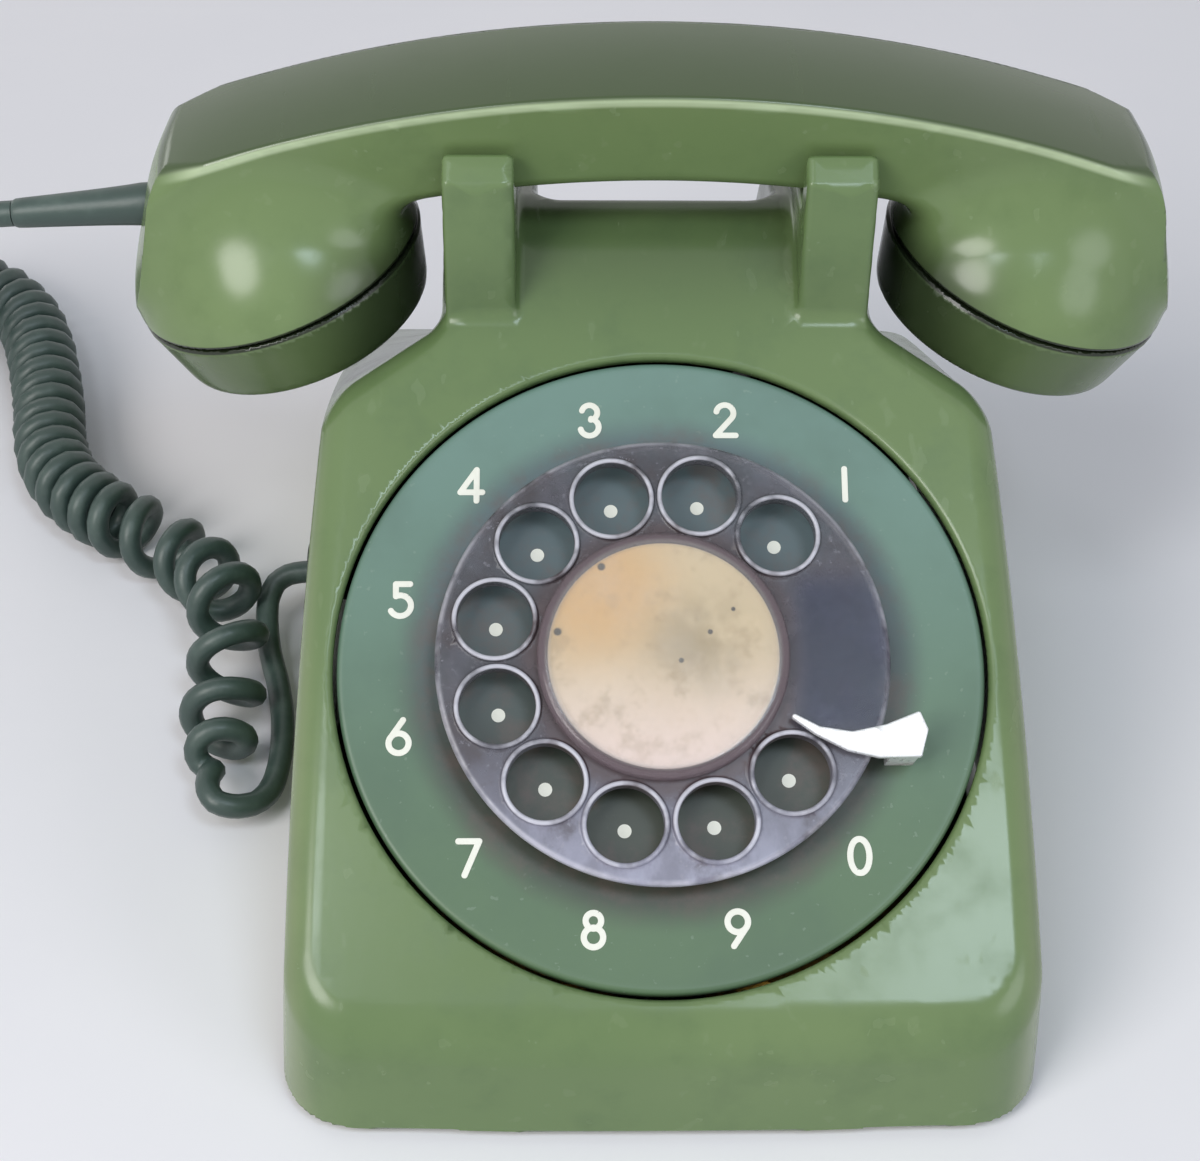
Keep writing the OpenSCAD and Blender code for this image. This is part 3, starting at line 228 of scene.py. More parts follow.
def lathe(name, profile, place, steps=160):
    """A closed ring or disc turned from (radius, height) pairs in millimetres and put in place."""
    mesh = bmesh.new()
    rows = []
    for i in range(steps):
        a = 2 * math.pi * i / steps
        rows.append([mesh.verts.new((r * math.cos(a), r * math.sin(a), h)) for r, h in profile])
    for i in range(steps):
        a, b = rows[i], rows[(i + 1) % steps]
        for j in range(len(profile) - 1):
            mesh.faces.new((a[j], b[j], b[j + 1], a[j + 1]))
        if profile[0] != profile[-1] and profile[0][0] > 0 and profile[-1][0] > 0:
            mesh.faces.new((a[-1], b[-1], b[0], a[0]))
    bmesh.ops.remove_doubles(mesh, verts=mesh.verts, dist=1e-5)
    bmesh.ops.recalc_face_normals(mesh, faces=mesh.faces)
    for face in mesh.faces:
        face.smooth = True
    for edge in mesh.edges:
        if len(edge.link_faces) == 2 and edge.calc_face_angle(0) > math.radians(35):
            edge.smooth = False
    data = bpy.data.meshes.new(name)
    mesh.to_mesh(data)
    mesh.free()
    data.transform(Matrix.Scale(MM, 4))
    data.transform(place)
    return add_object(name, data)


def dial_place(height=0.0):
    """Matrix from the dial's own plane to the frame."""
    lift = Matrix.Translation(Vector((0, 0, height * MM)))
    return Matrix.Translation(Vector(DIAL * MM)) @ Matrix.Rotation(TILT, 4, "X") @ lift


def on_dial(x, y, z):
    """Coordinates in the dial's own plane: right, up the face and out of it."""
    dy, dz = y - DIAL[1], z - DIAL[2]
    return x, dy * COS_TILT + dz * SIN_TILT, dz * COS_TILT - dy * SIN_TILT


def from_dial(points):
    """Points of the dial's own plane in the frame, in millimetres."""
    points = np.asarray(points, float)
    u, v, w = points.T
    return np.stack([u, DIAL[1] + v * COS_TILT - w * SIN_TILT, DIAL[2] + v * SIN_TILT + w * COS_TILT], 1)


def at_dial(u, v, w):
    """A point of the dial's own plane in the frame, in metres."""
    return tuple(from_dial([(u, v, w)])[0] * MM)


def on_ring(radius, angle):
    """Right and up places on a ring of the dial at an angle in degrees."""
    return radius * math.cos(math.radians(angle)), radius * math.sin(math.radians(angle))


def on_cap(x, y, z, side):
    """Height, radius and offset in a cap's frame, side -1 on the left and 1 on the right."""
    dx, dz = x * side - CAP[0], z - CAP[1]
    height = dx * math.sin(CAP_TILT) + dz * math.cos(CAP_TILT)
    across = dx * math.cos(CAP_TILT) - dz * math.sin(CAP_TILT)
    return height, np.hypot(across, y - HANDSET_Y), across


def settle(piece, body, slot, finish, *nodes):
    """Gives a piece its finish by name and its body, and hides the CAD nodes that it stands for; the slot is
    not used.
    """
    piece.data.materials.clear()
    piece.data.materials.append(FINISHES[finish])
    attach(piece, body)
    if nodes:
        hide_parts(*nodes)
    return piece


# ---------------------------------------------------------------- finishes

FINISHES = {}


def linear(code):
    """Linear colour with alpha of a six-digit sRGB code."""
    parts = [int(code[i : i + 2], 16) / 255 for i in (0, 2, 4)]
    return tuple(c / 12.92 if c <= 0.04045 else ((c + 0.055) / 1.055) ** 2.4 for c in parts) + (1.0,)


def math_method(operation):
    """A method of Value that adds one Math node."""
    return lambda self, other: self.maths(operation, other)


class Value:
    """A socket with arithmetic: an expression on values adds its Math nodes."""

    def __init__(self, finish, socket):
        self.finish = finish
        self.socket = socket

    def maths(self, operation, *others):
        """This value first, then the others, through one Math node."""
        return self.finish.node("ShaderNodeMath", {"operation": operation}, [self, *others])

    __add__ = __radd__ = math_method("ADD")
    __sub__ = math_method("SUBTRACT")
    __mul__ = __rmul__ = math_method("MULTIPLY")
    __truediv__ = math_method("DIVIDE")
    __pow__ = math_method("POWER")

    def __rsub__(self, other):
        return self.finish.node("ShaderNodeMath", {"operation": "SUBTRACT"}, [other, self])

    def above(self, start, end):
        """0 below start, 1 above end and smooth between them."""
        return self.finish.node(
            "ShaderNodeMapRange",
            {"interpolation_type": "SMOOTHSTEP", "clamp": True},
            {"Value": self, "From Min": start, "From Max": end},
        )

    def below(self, start, end):
        """1 below start, 0 above end and smooth between them."""
        return 1 - self.above(start, end)


class Finish:
    """A node material built by expressions: a colour, coats over it and what else the shader takes."""

    def __init__(self, name, **constants):
        self.material = bpy.data.materials.new(name)
        self.material.use_nodes = True
        self.tree = self.material.node_tree
        self.shader = self.tree.nodes["Principled BSDF"]
        for key, value in constants.items():
            self.shader.inputs[key.replace("_", " ")].default_value = value
        self.place = self.node("ShaderNodeTexCoord", {}, {}, "Object")

    def node(self, kind, settings, values, output=0):
        """Adds a node and returns one of its outputs as a Value."""
        node = self.tree.nodes.new(kind)
        for key, value in settings.items():
            setattr(node, key, value)
        pairs = values.items() if isinstance(values, dict) else enumerate(values)
        for key, value in pairs:
            if isinstance(value, Value):
                self.tree.links.new(value.socket, node.inputs[key])
            else:
                node.inputs[key].default_value = value
        return Value(self, node.outputs[output])

    def vector(self, operation, *values):
        """Vector maths, with a vector as the outcome of SUBTRACT and a number otherwise."""
        output = "Vector" if operation == "SUBTRACT" else "Value"
        return self.node("ShaderNodeVectorMath", {"operation": operation}, values, output)

    def noise(self, scale, detail=3.0, rough=0.5, stretch=(1, 1, 1), turn=(0, 0, 0), seed=0.0):
        """Smooth noise from 0 to 1 with a scale in features per metre."""
        place = self.node(
            "ShaderNodeMapping",
            {},
            {"Vector": self.place, "Scale": stretch, "Rotation": turn, "Location": (seed, seed, seed)},
        )
        return self.node(
            "ShaderNodeTexNoise", {}, {"Vector": place, "Scale": scale, "Detail": detail, "Roughness": rough}
        )

    def axis(self, letter):
        """Place along X, Y or Z in metres."""
        return self.node("ShaderNodeSeparateXYZ", {}, {"Vector": self.place}, letter)

    def height_above_wheel(self):
        """Height above the finger wheel's flat top."""
        offset = self.vector("SUBTRACT", self.place, at_dial(0, 0, WHEEL_TOP))
        return self.vector("DOT_PRODUCT", offset, (0, -SIN_TILT, COS_TILT))

    def distance_to(self, point):
        """Distance from a point given in metres."""
        return self.vector("DISTANCE", self.place, point)

    def mix(self, factor, a, b):
        """Colour a turned to colour b by a factor, where a colour may be a six-digit code."""
        a, b = (linear(colour) if isinstance(colour, str) else colour for colour in (a, b))
        return self.node("ShaderNodeMix", {"data_type": "RGBA"}, {0: factor, 6: a, 7: b}, 2)

    def coat(self, mask, colour):
        """Covers the finish's colour with another one where a mask is 1."""
        self.colour = self.mix(mask, self.colour, colour)

    def paint(self, **links):
        """Feeds the finish's colour and other values to the shader's sockets by name."""
        for key, value in {"Base_Color": self.colour, **links}.items():
            self.tree.links.new(value.socket, self.shader.inputs[key.replace("_", " ")])

    def relief(self, height, distance):
        """Bumps the surface by a height from 0 to 1 times a distance in metres."""
        bump = self.node("ShaderNodeBump", {}, {"Height": height, "Distance": distance, "Strength": 1.0})
        self.tree.links.new(bump.socket, self.shader.inputs["Normal"])


def moulded(name, tone, dark, pale, rough=0.2, extra=None):
    """Glossy moulded plastic, faded in patches, with fine scratches and grime."""
    f = Finish(name, IOR=1.5, Specular_IOR_Level=0.42)
    fade = f.noise(14, 2).above(0.35, 0.7)
    mottle = f.noise(90, 4, 0.6, seed=3.0)
    scratches = f.noise(260, 2, 0.5, (1, 0.04, 1), (0.3, 0.2, 0.9)).above(0.64, 0.7)
    f.colour = f.mix(fade * 0.45, tone, pale)
    f.coat(mottle.above(0.45, 0.75) * 0.3, dark)
    f.coat(scratches * 0.03, "c8cdb4")
    if extra:
        extra(f)
    f.paint(Roughness=rough + mottle.above(0.4, 0.8) * 0.08 + scratches * 0.06)
    f.relief(f.noise(420, 2, 0.5), 0.00001)
    return f.material


SCUFFS = (
    ((-0.0560, 0.0330, 0.1330), (-0.0500, 0.0380, 0.1338), 0.0006),
    ((-0.0540, 0.0395, 0.1333), (-0.0470, 0.0375, 0.1345), 0.0005),
)


def handset_marks(f):
    """Painted shade on the back, a painted highlight along the ridge, painted shade on the caps and their
    inner ends, dark seams and white scuffs.
    """
    across = (f.axis("X") * f.axis("X") + (f.axis("Z") - ARC_Z * MM) ** 2) ** 0.5
    x = f.axis("X").maths("ABSOLUTE")
    # Painted shade: the back of the handset is painted darker
    back = across.above((ARC_R - 0.9) * MM, (ARC_R - 0.3) * MM)
    f.coat(back * 0.85, "384829")
    front = f.axis("Y").below(0.016, 0.022)
    # Painted highlight: a light line along the ridge between the back and the front face, made patchy by
    # noise
    ridge_highlight = across.above((ARC_R - 2.2) * MM, (ARC_R - 1.3) * MM)
    ridge_highlight = ridge_highlight * across.below((ARC_R - 0.7) * MM, ARC_R * MM)
    highlight_patchiness = f.noise(60, 3, 0.6, seed=7.0) * 0.5 + 0.55
    f.coat(ridge_highlight * front * highlight_patchiness * x.below(0.080, 0.090), "b9c8a2")
    tilt = (math.sin(CAP_TILT), math.cos(CAP_TILT))
    height = (x - CAP[0] * MM) * tilt[0] + (f.axis("Z") - CAP[1] * MM) * tilt[1]
    # Painted shade on the inner ends of the cups, low beside the cradle
    inner = x.below(0.046, 0.068) * f.axis("Z").below(0.099, 0.110)
    f.coat(inner * 0.88, "12180e")
    # Painted shade: the caps darker than the shell
    f.coat(height.below(-0.0012, 0.0) * 0.45, "33402a")
    seam = height.above(-0.0011, -0.0008) * height.below(0.0007, 0.0010) * x.above(0.036, 0.038)
    f.coat(seam * 0.92, "11160e")
    for start, end, width in SCUFFS:
        f.coat(scuff_mask(f, start, end, width) * 0.9, "eef0e6")


def housing_marks(f):
    """A painted highlight along the side edges of the face towards its foot and a painted shadow behind the
    cradle.
    """
    x = f.axis("X").maths("ABSOLUTE")
    # Painted shadow behind the cradle, on the neck under the handset
    behind = f.axis("Y").above(-0.002, 0.030) * f.axis("Z").below(0.100, 0.112) * x.below(0.050, 0.060)
    f.coat(behind * 0.6, "252e1d")
    # Painted highlight along the side edges of the face's front half
    edge = x.above(0.0585, 0.0635) * f.axis("Y").below(-0.02, 0.0)
    f.coat(edge * 0.35, "98a07a")


def scuff_mask(f, start, end, width):
    """1 along a short worn line between two points in metres, ragged at its edges."""
    start, end = Vector(start), Vector(end)
    along = end - start
    length = along.length
    offset = f.vector("SUBTRACT", f.place, tuple(start))
    run = f.vector("DOT_PRODUCT", offset, tuple(along / length))
    reach = f.vector("LENGTH", offset)
    side = (reach * reach - run * run).maths("MAXIMUM", 0.0) ** 0.5
    ragged = f.noise(900, 3, 0.7)
    inside = run.above(0, 0.0006) * run.below(length, length + 0.0006)
    return inside * (side + (ragged - 0.5) * width * 1.6).below(width * 0.4, width)


def plate_finish(name):
    """The dial's number plate: satin plastic, lighter towards the top as a painted reflection, with painted
    shade and dust under the wheel.
    """
    f = Finish(name, IOR=1.5)
    film = f.noise(30, 4, 0.6)
    specks = f.noise(700, 2, 0.5).above(0.68, 0.74)
    # Painted reflection: the plate lighter towards the top
    up = f.axis("Z").above(0.035, 0.085)
    f.colour = f.mix(up * 0.85, "516b4b", "66857c")
    f.coat(film.above(0.4, 0.75) * 0.35, "3f5547")
    f.coat(specks * 0.25, "8f9f8f")
    ring = f.distance_to(tuple(DIAL * MM))
    # Painted shade under the wheel, itself lighter towards the top
    under = ring.below(0.040, 0.047)
    shade = f.mix(f.axis("Z").above(0.045, 0.07), "2c2a26", "46535b")
    f.coat(under * 0.85, shade)
    dust = f.noise(120, 5, 0.65, seed=5.0).above(0.42, 0.7) * under
    f.coat(dust * 0.55, "5b4a44")
    f.paint(Roughness=0.30 + film * 0.16)
    f.relief(f.noise(500, 2), 0.00002)
    return f.material


def wheel_finish(name):
    """Clear plastic gone grey and violet with handling, lighter towards the bottom as a painted reflection,
    with painted highlights on its hole rims and outer edge.
    """
    f = Finish(name, IOR=1.49)
    grime = f.noise(70, 6, 0.65)
    streaks = f.noise(160, 4, 0.6, (1, 0.25, 1), (0, 0, 0.7), seed=2.0)
    fine = f.noise(900, 2, 0.5).above(0.62, 0.7)
    ring = f.distance_to(at_dial(0, 0, WHEEL_TOP))
    # Painted reflection: the wheel lighter and more opaque towards the bottom
    low = f.axis("Z").below(0.042, 0.062)
    f.colour = f.mix(low, "55545b", "b3b2c6")
    f.coat(streaks.above(0.4, 0.65) * 0.5, "6f6c78")
    f.coat(grime.above(0.48, 0.66) * 0.75, "3a2e30")
    f.coat(fine * 0.35, "a9a7b2")
    core = ring.below(0.0225, 0.0265) * (0.45 + grime * 0.8)
    f.coat(core, "4a3a3c")
    blank = blank_sector(f)
    f.coat(blank * (0.55 + grime * 0.5), "33364f")
    # Painted highlights on the raised hole rims and the outer bevel, made patchy by noise
    raised = f.height_above_wheel().above(0.00035, 0.0007) * ring.above(0.0215, 0.0222)
    bevel = ring.above(0.0378, 0.0386)
    rim_highlight = (raised + bevel * 0.6).maths("MINIMUM", 1.0) * f.noise(120, 3, 0.6, seed=9.0).above(0.3, 0.6)
    f.coat(rim_highlight * 0.8, "d5d3dc")
    alpha = 0.46 + grime.above(0.4, 0.75) * 0.4 + low * 0.25 + rim_highlight * 0.4 + core * 0.3
    f.paint(Roughness=0.2 + streaks * 0.24, Alpha=alpha.maths("MINIMUM", 0.97))
    f.relief(f.noise(500, 3), 0.00003)
    return f.material


def blank_sector(f):
    """1 in the wheel's sector that has no finger hole."""
    offset = f.vector("SUBTRACT", f.place, at_dial(*on_ring(31, 1), WHEEL_TOP))
    along = f.vector("DOT_PRODUCT", offset, (0, COS_TILT, SIN_TILT)) / 0.017
    across = f.vector("DOT_PRODUCT", offset, (1, 0, 0)) / 0.010
    return along.maths("ABSOLUTE").below(0.6, 1.0) * across.maths("ABSOLUTE").below(0.5, 1.1)


def card_finish(name):
    """Aged paper, yellow at the upper left, with brown stains and small specks."""
    f = Finish(name, Roughness=0.6)
    marks = ((-12, 12), (6, 2), (-10.5, 15.5), (-18, 4), (8, 4), (3, -1), (12, 8))
    place = [at_dial(u, v, CARD_TOP) for u, v in marks]
    warm = f.distance_to(place[0]).below(0.004, 0.020)
    stain = f.distance_to(place[1]).below(0.001, 0.014)
    fibre = f.noise(600, 4, 0.6)
    cloud = f.noise(90, 4, 0.6, seed=1.0)
    blot = f.noise(190, 5, 0.65, seed=6.0)
    f.colour = f.mix(f.axis("Z").above(0.052, 0.070), "f0dad6", "cdb894")
    f.coat(warm * 0.75, "d0a060")
    f.coat(stain * cloud.above(0.3, 0.6) * 0.7, "8f7c58")
    f.coat(blot.above(0.5, 0.7) * 0.4 * f.axis("Z").above(0.050, 0.062), "97805e")
    f.coat(fibre.above(0.5, 0.8) * 0.3, "bfa888")
    for speck, size in zip(place[2:], (0.0009, 0.0009, 0.0006, 0.0006, 0.0005)):
        f.coat(f.distance_to(speck).below(size * 0.5, size), "2c2622")
    f.paint()
    f.relief(fibre, 0.00005)
    return f.material


def window_finish(name):
    """A clear cover, faintly scratched and dusty."""
    f = Finish(name, IOR=1.49, Roughness=0.12)
    haze = f.noise(80, 5, 0.6).above(0.4, 0.8)
    rim = f.distance_to(at_dial(0, 0, 9)).above(0.0190, 0.0205)
    f.colour = f.mix(rim, "f2ede6", "7a6a70")
    f.paint(Alpha=0.07 + haze * 0.08 + rim * 0.45)
    return f.material


def metal(name, tone, dark, rough, brushed=False):
    """Bare or plated metal with fine wear."""
    f = Finish(name, Metallic=1.0)
    stretch = (1, 0.05, 1) if brushed else (1, 1, 1)
    grain = f.noise(600, 3, 0.6, stretch)
    tarnish = f.noise(60, 4, 0.6, seed=4.0)
    f.colour = f.mix(tarnish.above(0.45, 0.75) * 0.6, tone, dark)
    f.paint(Roughness=rough + grain * 0.15 + tarnish * 0.08)
    f.relief(grain, 0.00001)
    return f.material


def stop_finish(name):
    """Bright plated steel, rusty at its foot."""
    f = Finish(name, Metallic=0.35, IOR=1.6)
    grain = f.noise(400, 3, 0.6)
    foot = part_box("finger_stop")[0]
    low = f.distance_to((foot[0] + 0.021, -0.0645, 0.0475)).below(0.0015, 0.0065)
    rust = low * f.noise(500, 4, 0.7).above(0.35, 0.6)
    f.colour = f.mix(grain.above(0.5, 0.8) * 0.25, "f6f6f8", "c9cad6")
    f.coat(rust * 0.8, "6b3322")
    f.paint(Roughness=0.22 + grain * 0.12 + rust * 0.4)
    return f.material


def rubber(name, tone, pale, rough=0.45):
    """Rubber or vinyl with a soft sheen and dust."""
    f = Finish(name, IOR=1.5)
    dust = f.noise(140, 4, 0.6)
    f.colour = f.mix(dust.above(0.45, 0.75) * 0.5, tone, pale)
    f.paint(Roughness=rough + dust * 0.15)
    f.relief(f.noise(900, 2), 0.00004)
    return f.material


def winding(name):
    """Fine enamelled wire laid side by side."""
    f = Finish(name, Metallic=0.6)
    wire = f.node("ShaderNodeTexWave", {"bands_direction": "X"}, {"Vector": f.place, "Scale": 900.0}, "Fac")
    f.colour = f.mix(wire, "4a2413", "a8602c")
    f.paint(Roughness=0.35 + wire * 0.1)
    f.relief(wire, 0.00012)
    return f.material


def make_finishes(look):
    """One material for each finish name."""
    FINISHES.update(
        green_plastic=moulded("moss_plastic", "667c50", "4f6542", "768a5c", extra=housing_marks),
        handset_plastic=moulded("handset_moss_plastic", "6b8052", "52683f", "7b8f5f", extra=handset_marks),
        number_plate=plate_finish("plate_plastic"),
        clear_plastic=wheel_finish("wheel_plastic"),
        window=window_finish("window_plastic"),
        card=card_finish("card_paper"),
        stop_metal=stop_finish("stop_plating"),
        steel=metal("zinc_steel", "b4b7ba", "8b8d8c", 0.3),
        spring_steel=metal("blue_spring_steel", "9aa0a8", "6f7480", 0.25, True),
        brass=metal("brass_metal", "c49a4a", "8c6c34", 0.28),
        rubber=rubber("foot_rubber", "23262a", "3d4144", 0.6),
        cord_rubber=rubber("cord_vinyl", "3a4a45", "56665f", 0.34),
        grey_plastic=rubber("grey_phenolic", "7c8284", "95999a", 0.4),
        white_plastic=rubber("white_nylon", "e4e2da", "cfcbc0", 0.4),
        black_plastic=rubber("black_phenolic", "17181a", "2c2d30", 0.35),
        winding=winding("copper_winding"),
        capsule_metal=metal("capsule_aluminium", "c0c2c4", "9a9c9e", 0.35, True),
        print=rubber("cream_print", "efeee2", "dedccb", 0.45),
    )
    # The colour that a user sets in the panel
    FINISHES["green_plastic"].diffuse_color = look.tone[:] + (1.0,)


# ---------------------------------------------------------------- housing

# Half width, front and rear of the foot lean in by these slopes, and front and rear bow a little
SIDE_SLOPE, SIDE_CURVE, END_SLOPE, END_BOW = 0.0646, 0.000563, 0.0658, 0.0004
# Width and depth at which the face ends, how its shoulder runs back, and the low rear deck
SHOULDER, SHOULDER_SLOPE = (59.6, -7.7), 0.634
DECK_END = (97, 26)
# Cosines that turn the slopes of the sides, the ends and the deck into distances
SIDE_COS, END_COS, DECK_COS = 0.992, 0.998, 0.86
# Lines in the side view, from front to back: the neck's top, its back and the recess's front wall
CREST = (25.0, 105.4), (52, 99.6)
NECK_BACK = (52, 98.6), (69, 73), (75, 38)
RECESS_FRONT = (31.5, 85), (28, 140)


def body_field(x, y, z):
    """Outside of the housing without its cradle, open at the bottom."""
    ax = np.abs(x)
    rise = z - FOOT_Z
    half = FOOT_HALF_W - 3 * (y / 93) ** 2 - SIDE_SLOPE * rise - SIDE_CURVE * rise * np.abs(rise)
    side = (ax - half) * SIDE_COS
    bow = END_BOW * ax**2
    front = (-FOOT_HALF_D + bow + END_SLOPE * rise - y) * END_COS
    rear = (y - FOOT_HALF_D + bow + END_SLOPE * rise) * END_COS
    shoulder = SHOULDER[1] + (SHOULDER[0] - np.maximum(ax, NECK_HALF - 1)) * SHOULDER_SLOPE
    top = DIAL[2] + (shoulder - DIAL[1]) * math.tan(TILT)
    deck = (z - top - (DECK_END[1] - top) * (y - shoulder) / (DECK_END[0] - shoulder)) * DECK_COS
    plan = blend_max(side, np.maximum(front, rear), 12)
    body = blend_max(plan, deck, 5)
    crown = plane(y, z, *CREST)
    back = blend_max(crown, plane(y, z, *NECK_BACK[:2]), 9)
    back = blend_max(back, plane(y, z, *NECK_BACK[1:]), 6)
    neck = blend_max(blend_max(ax - NECK_HALF, back, 5), -y - 45, 5)
    face = on_dial(x, y, z)[2]
    whole = blend_max(blend_min(body, neck, 3), face, 5.2)
    recess = blend_max(blend_max(ax - RECESS_HALF, RECESS_Z - z, 5), plane(y, z, *RECESS_FRONT), 5)
    return carve(whole, recess, 1.5)


def plane(y, z, a, b):
    """Distance above the line from a to b in the side view, behind it where it falls."""
    dy, dz = b[0] - a[0], b[1] - a[1]
    length = math.hypot(dy, dz)
    return ((z - a[1]) * dy - (y - a[0]) * dz) / length


# Side view of the ears, wound left from the front of their foot
SADDLE = [
    (5.87, 89.24), (22.5, 88.0), (50.13, 89.24), (46.93, 120.24), (42.03, 124.24), (39.45, 111.24),
    (16.55, 111.24), (13.97, 124.24), (9.07, 120.24),
]


def housing_field(x, y, z):
    """The housing as a shell with its cradle, dial opening, posts and cord holes."""
    outer = body_field(x, y, z)
    ax = np.abs(x)
    across = np.abs(ax - EAR_X)
    ears = polygon_field(inset(SADDLE, 1.0), y, z) - 1.0
    ears = blend_max(ears, across - EAR_HALF, 1.1)
    shell = np.maximum(blend_min(outer, ears, 1.6), FOOT_Z - z)
    shell = cut(shell, outer + WALL)
    posts = np.hypot(x, np.abs(y) - SCREW_Y)
    shell = np.minimum(shell, common(posts - POST_R, 5.9 - z, z - 21))
    u, v, w = on_dial(x, y, z)
    shell = carve(shell, np.maximum(np.hypot(u, v) - OPENING_R, -14 - w), 1.1)
    # Each ear is hollow for the arm and the shaft of its plunger
    channel = common(across - EAR_HOLLOW, np.abs(y - HANDSET_Y) - 9, z - 108.84, EAR_FLOOR - z)
    arm = common(across - EAR_HOLLOW, np.abs(y - 31.5) - 12.5, z - 97.24, EAR_FLOOR - z)
    pin = np.maximum(np.hypot(ax - EAR_X, y - HANDSET_Y) - 3.15, 101 - z)
    shell = cut(shell, np.minimum(np.minimum(channel, arm), pin))
    shell = cut(shell, np.maximum(posts - SCREW_HOLE_R, z - 17.6))
    cord_hole = np.maximum(np.hypot(y - CORD_HOLE[0], z - CORD_HOLE[1]) - CORD_HOLE_R, x + 50)
    line_hole = np.maximum(np.hypot(x - LINE_HOLE[0], z - LINE_HOLE[1]) - CORD_HOLE_R, 90 - y)
    return cut(shell, np.minimum(cord_hole, line_hole))


# ---------------------------------------------------------------- handset


def bar_flank(y, radius, half):
    """Sides of the handle, narrower towards its underside."""
    taper = np.clip((ARC_R - radius) / (ARC_R - ARC_UNDER), -1, 2)
    return np.abs(y - HANDSET_Y) - (half - 3 * taper)


def handset_outside(x, y, z):
    """Outside of the handset shell, down past the seams of its caps."""
    ax = np.abs(x)
    side = y - HANDSET_Y
    radius = np.hypot(x, z - ARC_Z)
    crown = 0.8 * (1 - np.minimum((side / BAR_HALF) ** 2, 1))
    back = radius - ARC_R - crown
    flank = bar_flank(y, radius, BAR_HALF)
    bar = blend_max(flank, ARC_UNDER - radius, 3)
    bar = np.maximum(bar, ax - 91)
    height, across, _ = on_cap(ax, y, z, 1)
    rise = np.maximum(height, 0) / 31
    dome = (across - CUP_R * (1 - rise**1.6)) / np.sqrt(1 + (1.44 * rise**0.6) ** 2)
    dome = np.maximum(dome, -height)
    joined = blend_min(bar, dome, 9)
    edge = 1.0 + 7 * np.clip((ax - 80) / 14, 0, 1)
    return blend_max(joined, back, edge)


def handset_field(x, y, z):
    """The handset shell, hollow for its wires and capsules."""
    ax = np.abs(x)
    height, across, _ = on_cap(ax, y, z, 1)
    shell = carve(handset_outside(x, y, z), np.maximum(height, 36 - ax), 0.9)
    for bore_r, top in ((24.8, 3), (22, 8.5), (16, 15)):
        shell = cut(shell, np.maximum(across - bore_r, height - top))
    radius = np.hypot(x, z - ARC_Z)
    flank = bar_flank(y, radius, BAR_HALF - WALL)
    shell = cut(shell, common(radius - ARC_R + WALL, ARC_UNDER + WALL - radius, flank, ax - 68))
    along, off = boot_frame(x, y, z)
    return cut(shell, np.maximum(off - 3.75, -12 - along))


BOOT_ROOT = np.array([-87.5, HANDSET_Y, 104.5])
BOOT_AXIS = np.array([-0.99619, 0.0, -0.08716])
BOOT_PROFILE = [
    (0, -4), (3.7, -4), (3.7, 4), (3.9, 5.0), (3.95, 7.0), (3.7, 10), (3.45, 14), (3.2, 19),
    (2.95, 25), (2.8, 29), (2.7, 30.6), (2.45, 31.2), (0, 31.2),
]


def boot_frame(x, y, z):
    """Distance along and off the axis of the cord boot."""
    dx, dy, dz = x - BOOT_ROOT[0], y - BOOT_ROOT[1], z - BOOT_ROOT[2]
    along = dx * BOOT_AXIS[0] + dz * BOOT_AXIS[2]
    off = np.sqrt(np.maximum(dx**2 + dy**2 + dz**2 - along**2, 0))
    return along, off


# Half section of a cap as (radius, height) pairs, from its middle to its thread and back
CAP_PROFILE = [
    (0, -CAP_DEPTH), (23.0, -CAP_DEPTH), (24.0, -13.7), (24.7, -13.1), (25.1, -12.1),
    (27.6, -2.2), (27.9, -1.2), (27.6, -0.45), (27.0, -0.3), (24.7, -0.3), (24.7, 1.5), (23.0, 1.5),
    (23.0, -11.5), (0, -11.5),
]


def cap_field(side, hole_r, ring_r):
    """One screw cap with its ring of sound holes."""
    holes = [(0.0, 0.0)] + [on_ring(ring_r, angle) for angle in range(0, 360, 60)]
    full = [(-r, h) for r, h in reversed(CAP_PROFILE[1:-1])] + CAP_PROFILE

    def field(x, y, z):
        height, radius, across = on_cap(x, y, z, side)
        body = polygon_field(full, radius, height)
        dish = height + CAP_DEPTH
        for a, b in holes:
            pin = np.hypot(across - a, y - HANDSET_Y - b) - hole_r
            body = carve(body, np.maximum(pin, dish - SOUND_HOLE_DEPTH), 0.35)
        return body

    return field


# ---------------------------------------------------------------- dial


def wheel_field(u, v, w):
    """The finger wheel in the dial's own plane."""
    radius = np.hypot(u, v)
    middle, half = (WHEEL_TOP + WHEEL_FOOT) / 2, (WHEEL_TOP - WHEEL_FOOT) / 2
    disc = blend_max(radius - WHEEL_R, np.abs(w - middle) - half, 0.9)
    collar = blend_max(radius - CARD_R, w - CARD_FOOT, 0.3)
    collar = np.maximum(collar, WHEEL_TOP - 0.5 - w)
    body = blend_min(disc, collar, 0.4)
    holes = None
    for i in range(10):
        hole_u, hole_v = on_ring(HOLE_RING, FIRST_HOLE + HOLE_STEP * i)
        ring = np.hypot(u - hole_u, v - hole_v)
        rim = blend_max(ring - HOLE_R - RIM_W, w - RIM_TOP, 0.45)
        body = blend_min(body, np.maximum(rim, WHEEL_FOOT + 0.6 - w), 0.35)
        holes = ring if holes is None else np.minimum(holes, ring)
    body = carve(body, holes - HOLE_R, 0.45)
    body = carve(body, np.maximum(radius - CARD_SEAT_R, WHEEL_TOP - w), 0.2)
    return np.maximum(body, SHAFT_R - radius)


def dial_skin(name, field, low, high, step, adapt=0.0):
    """A skin of a field in the dial's own plane, put in the frame."""
    piece = skin(name, field, low, high, step, adapt)
    normals = [tuple(n.vector) for n in piece.data.corner_normals]
    place = dial_place()
    turn = place.to_3x3()
    piece.data.transform(place)
    piece.data.normals_split_custom_set([turn @ Vector(n) for n in normals])
    return piece


DIGIT_H = 3.1  # half the height of a digit
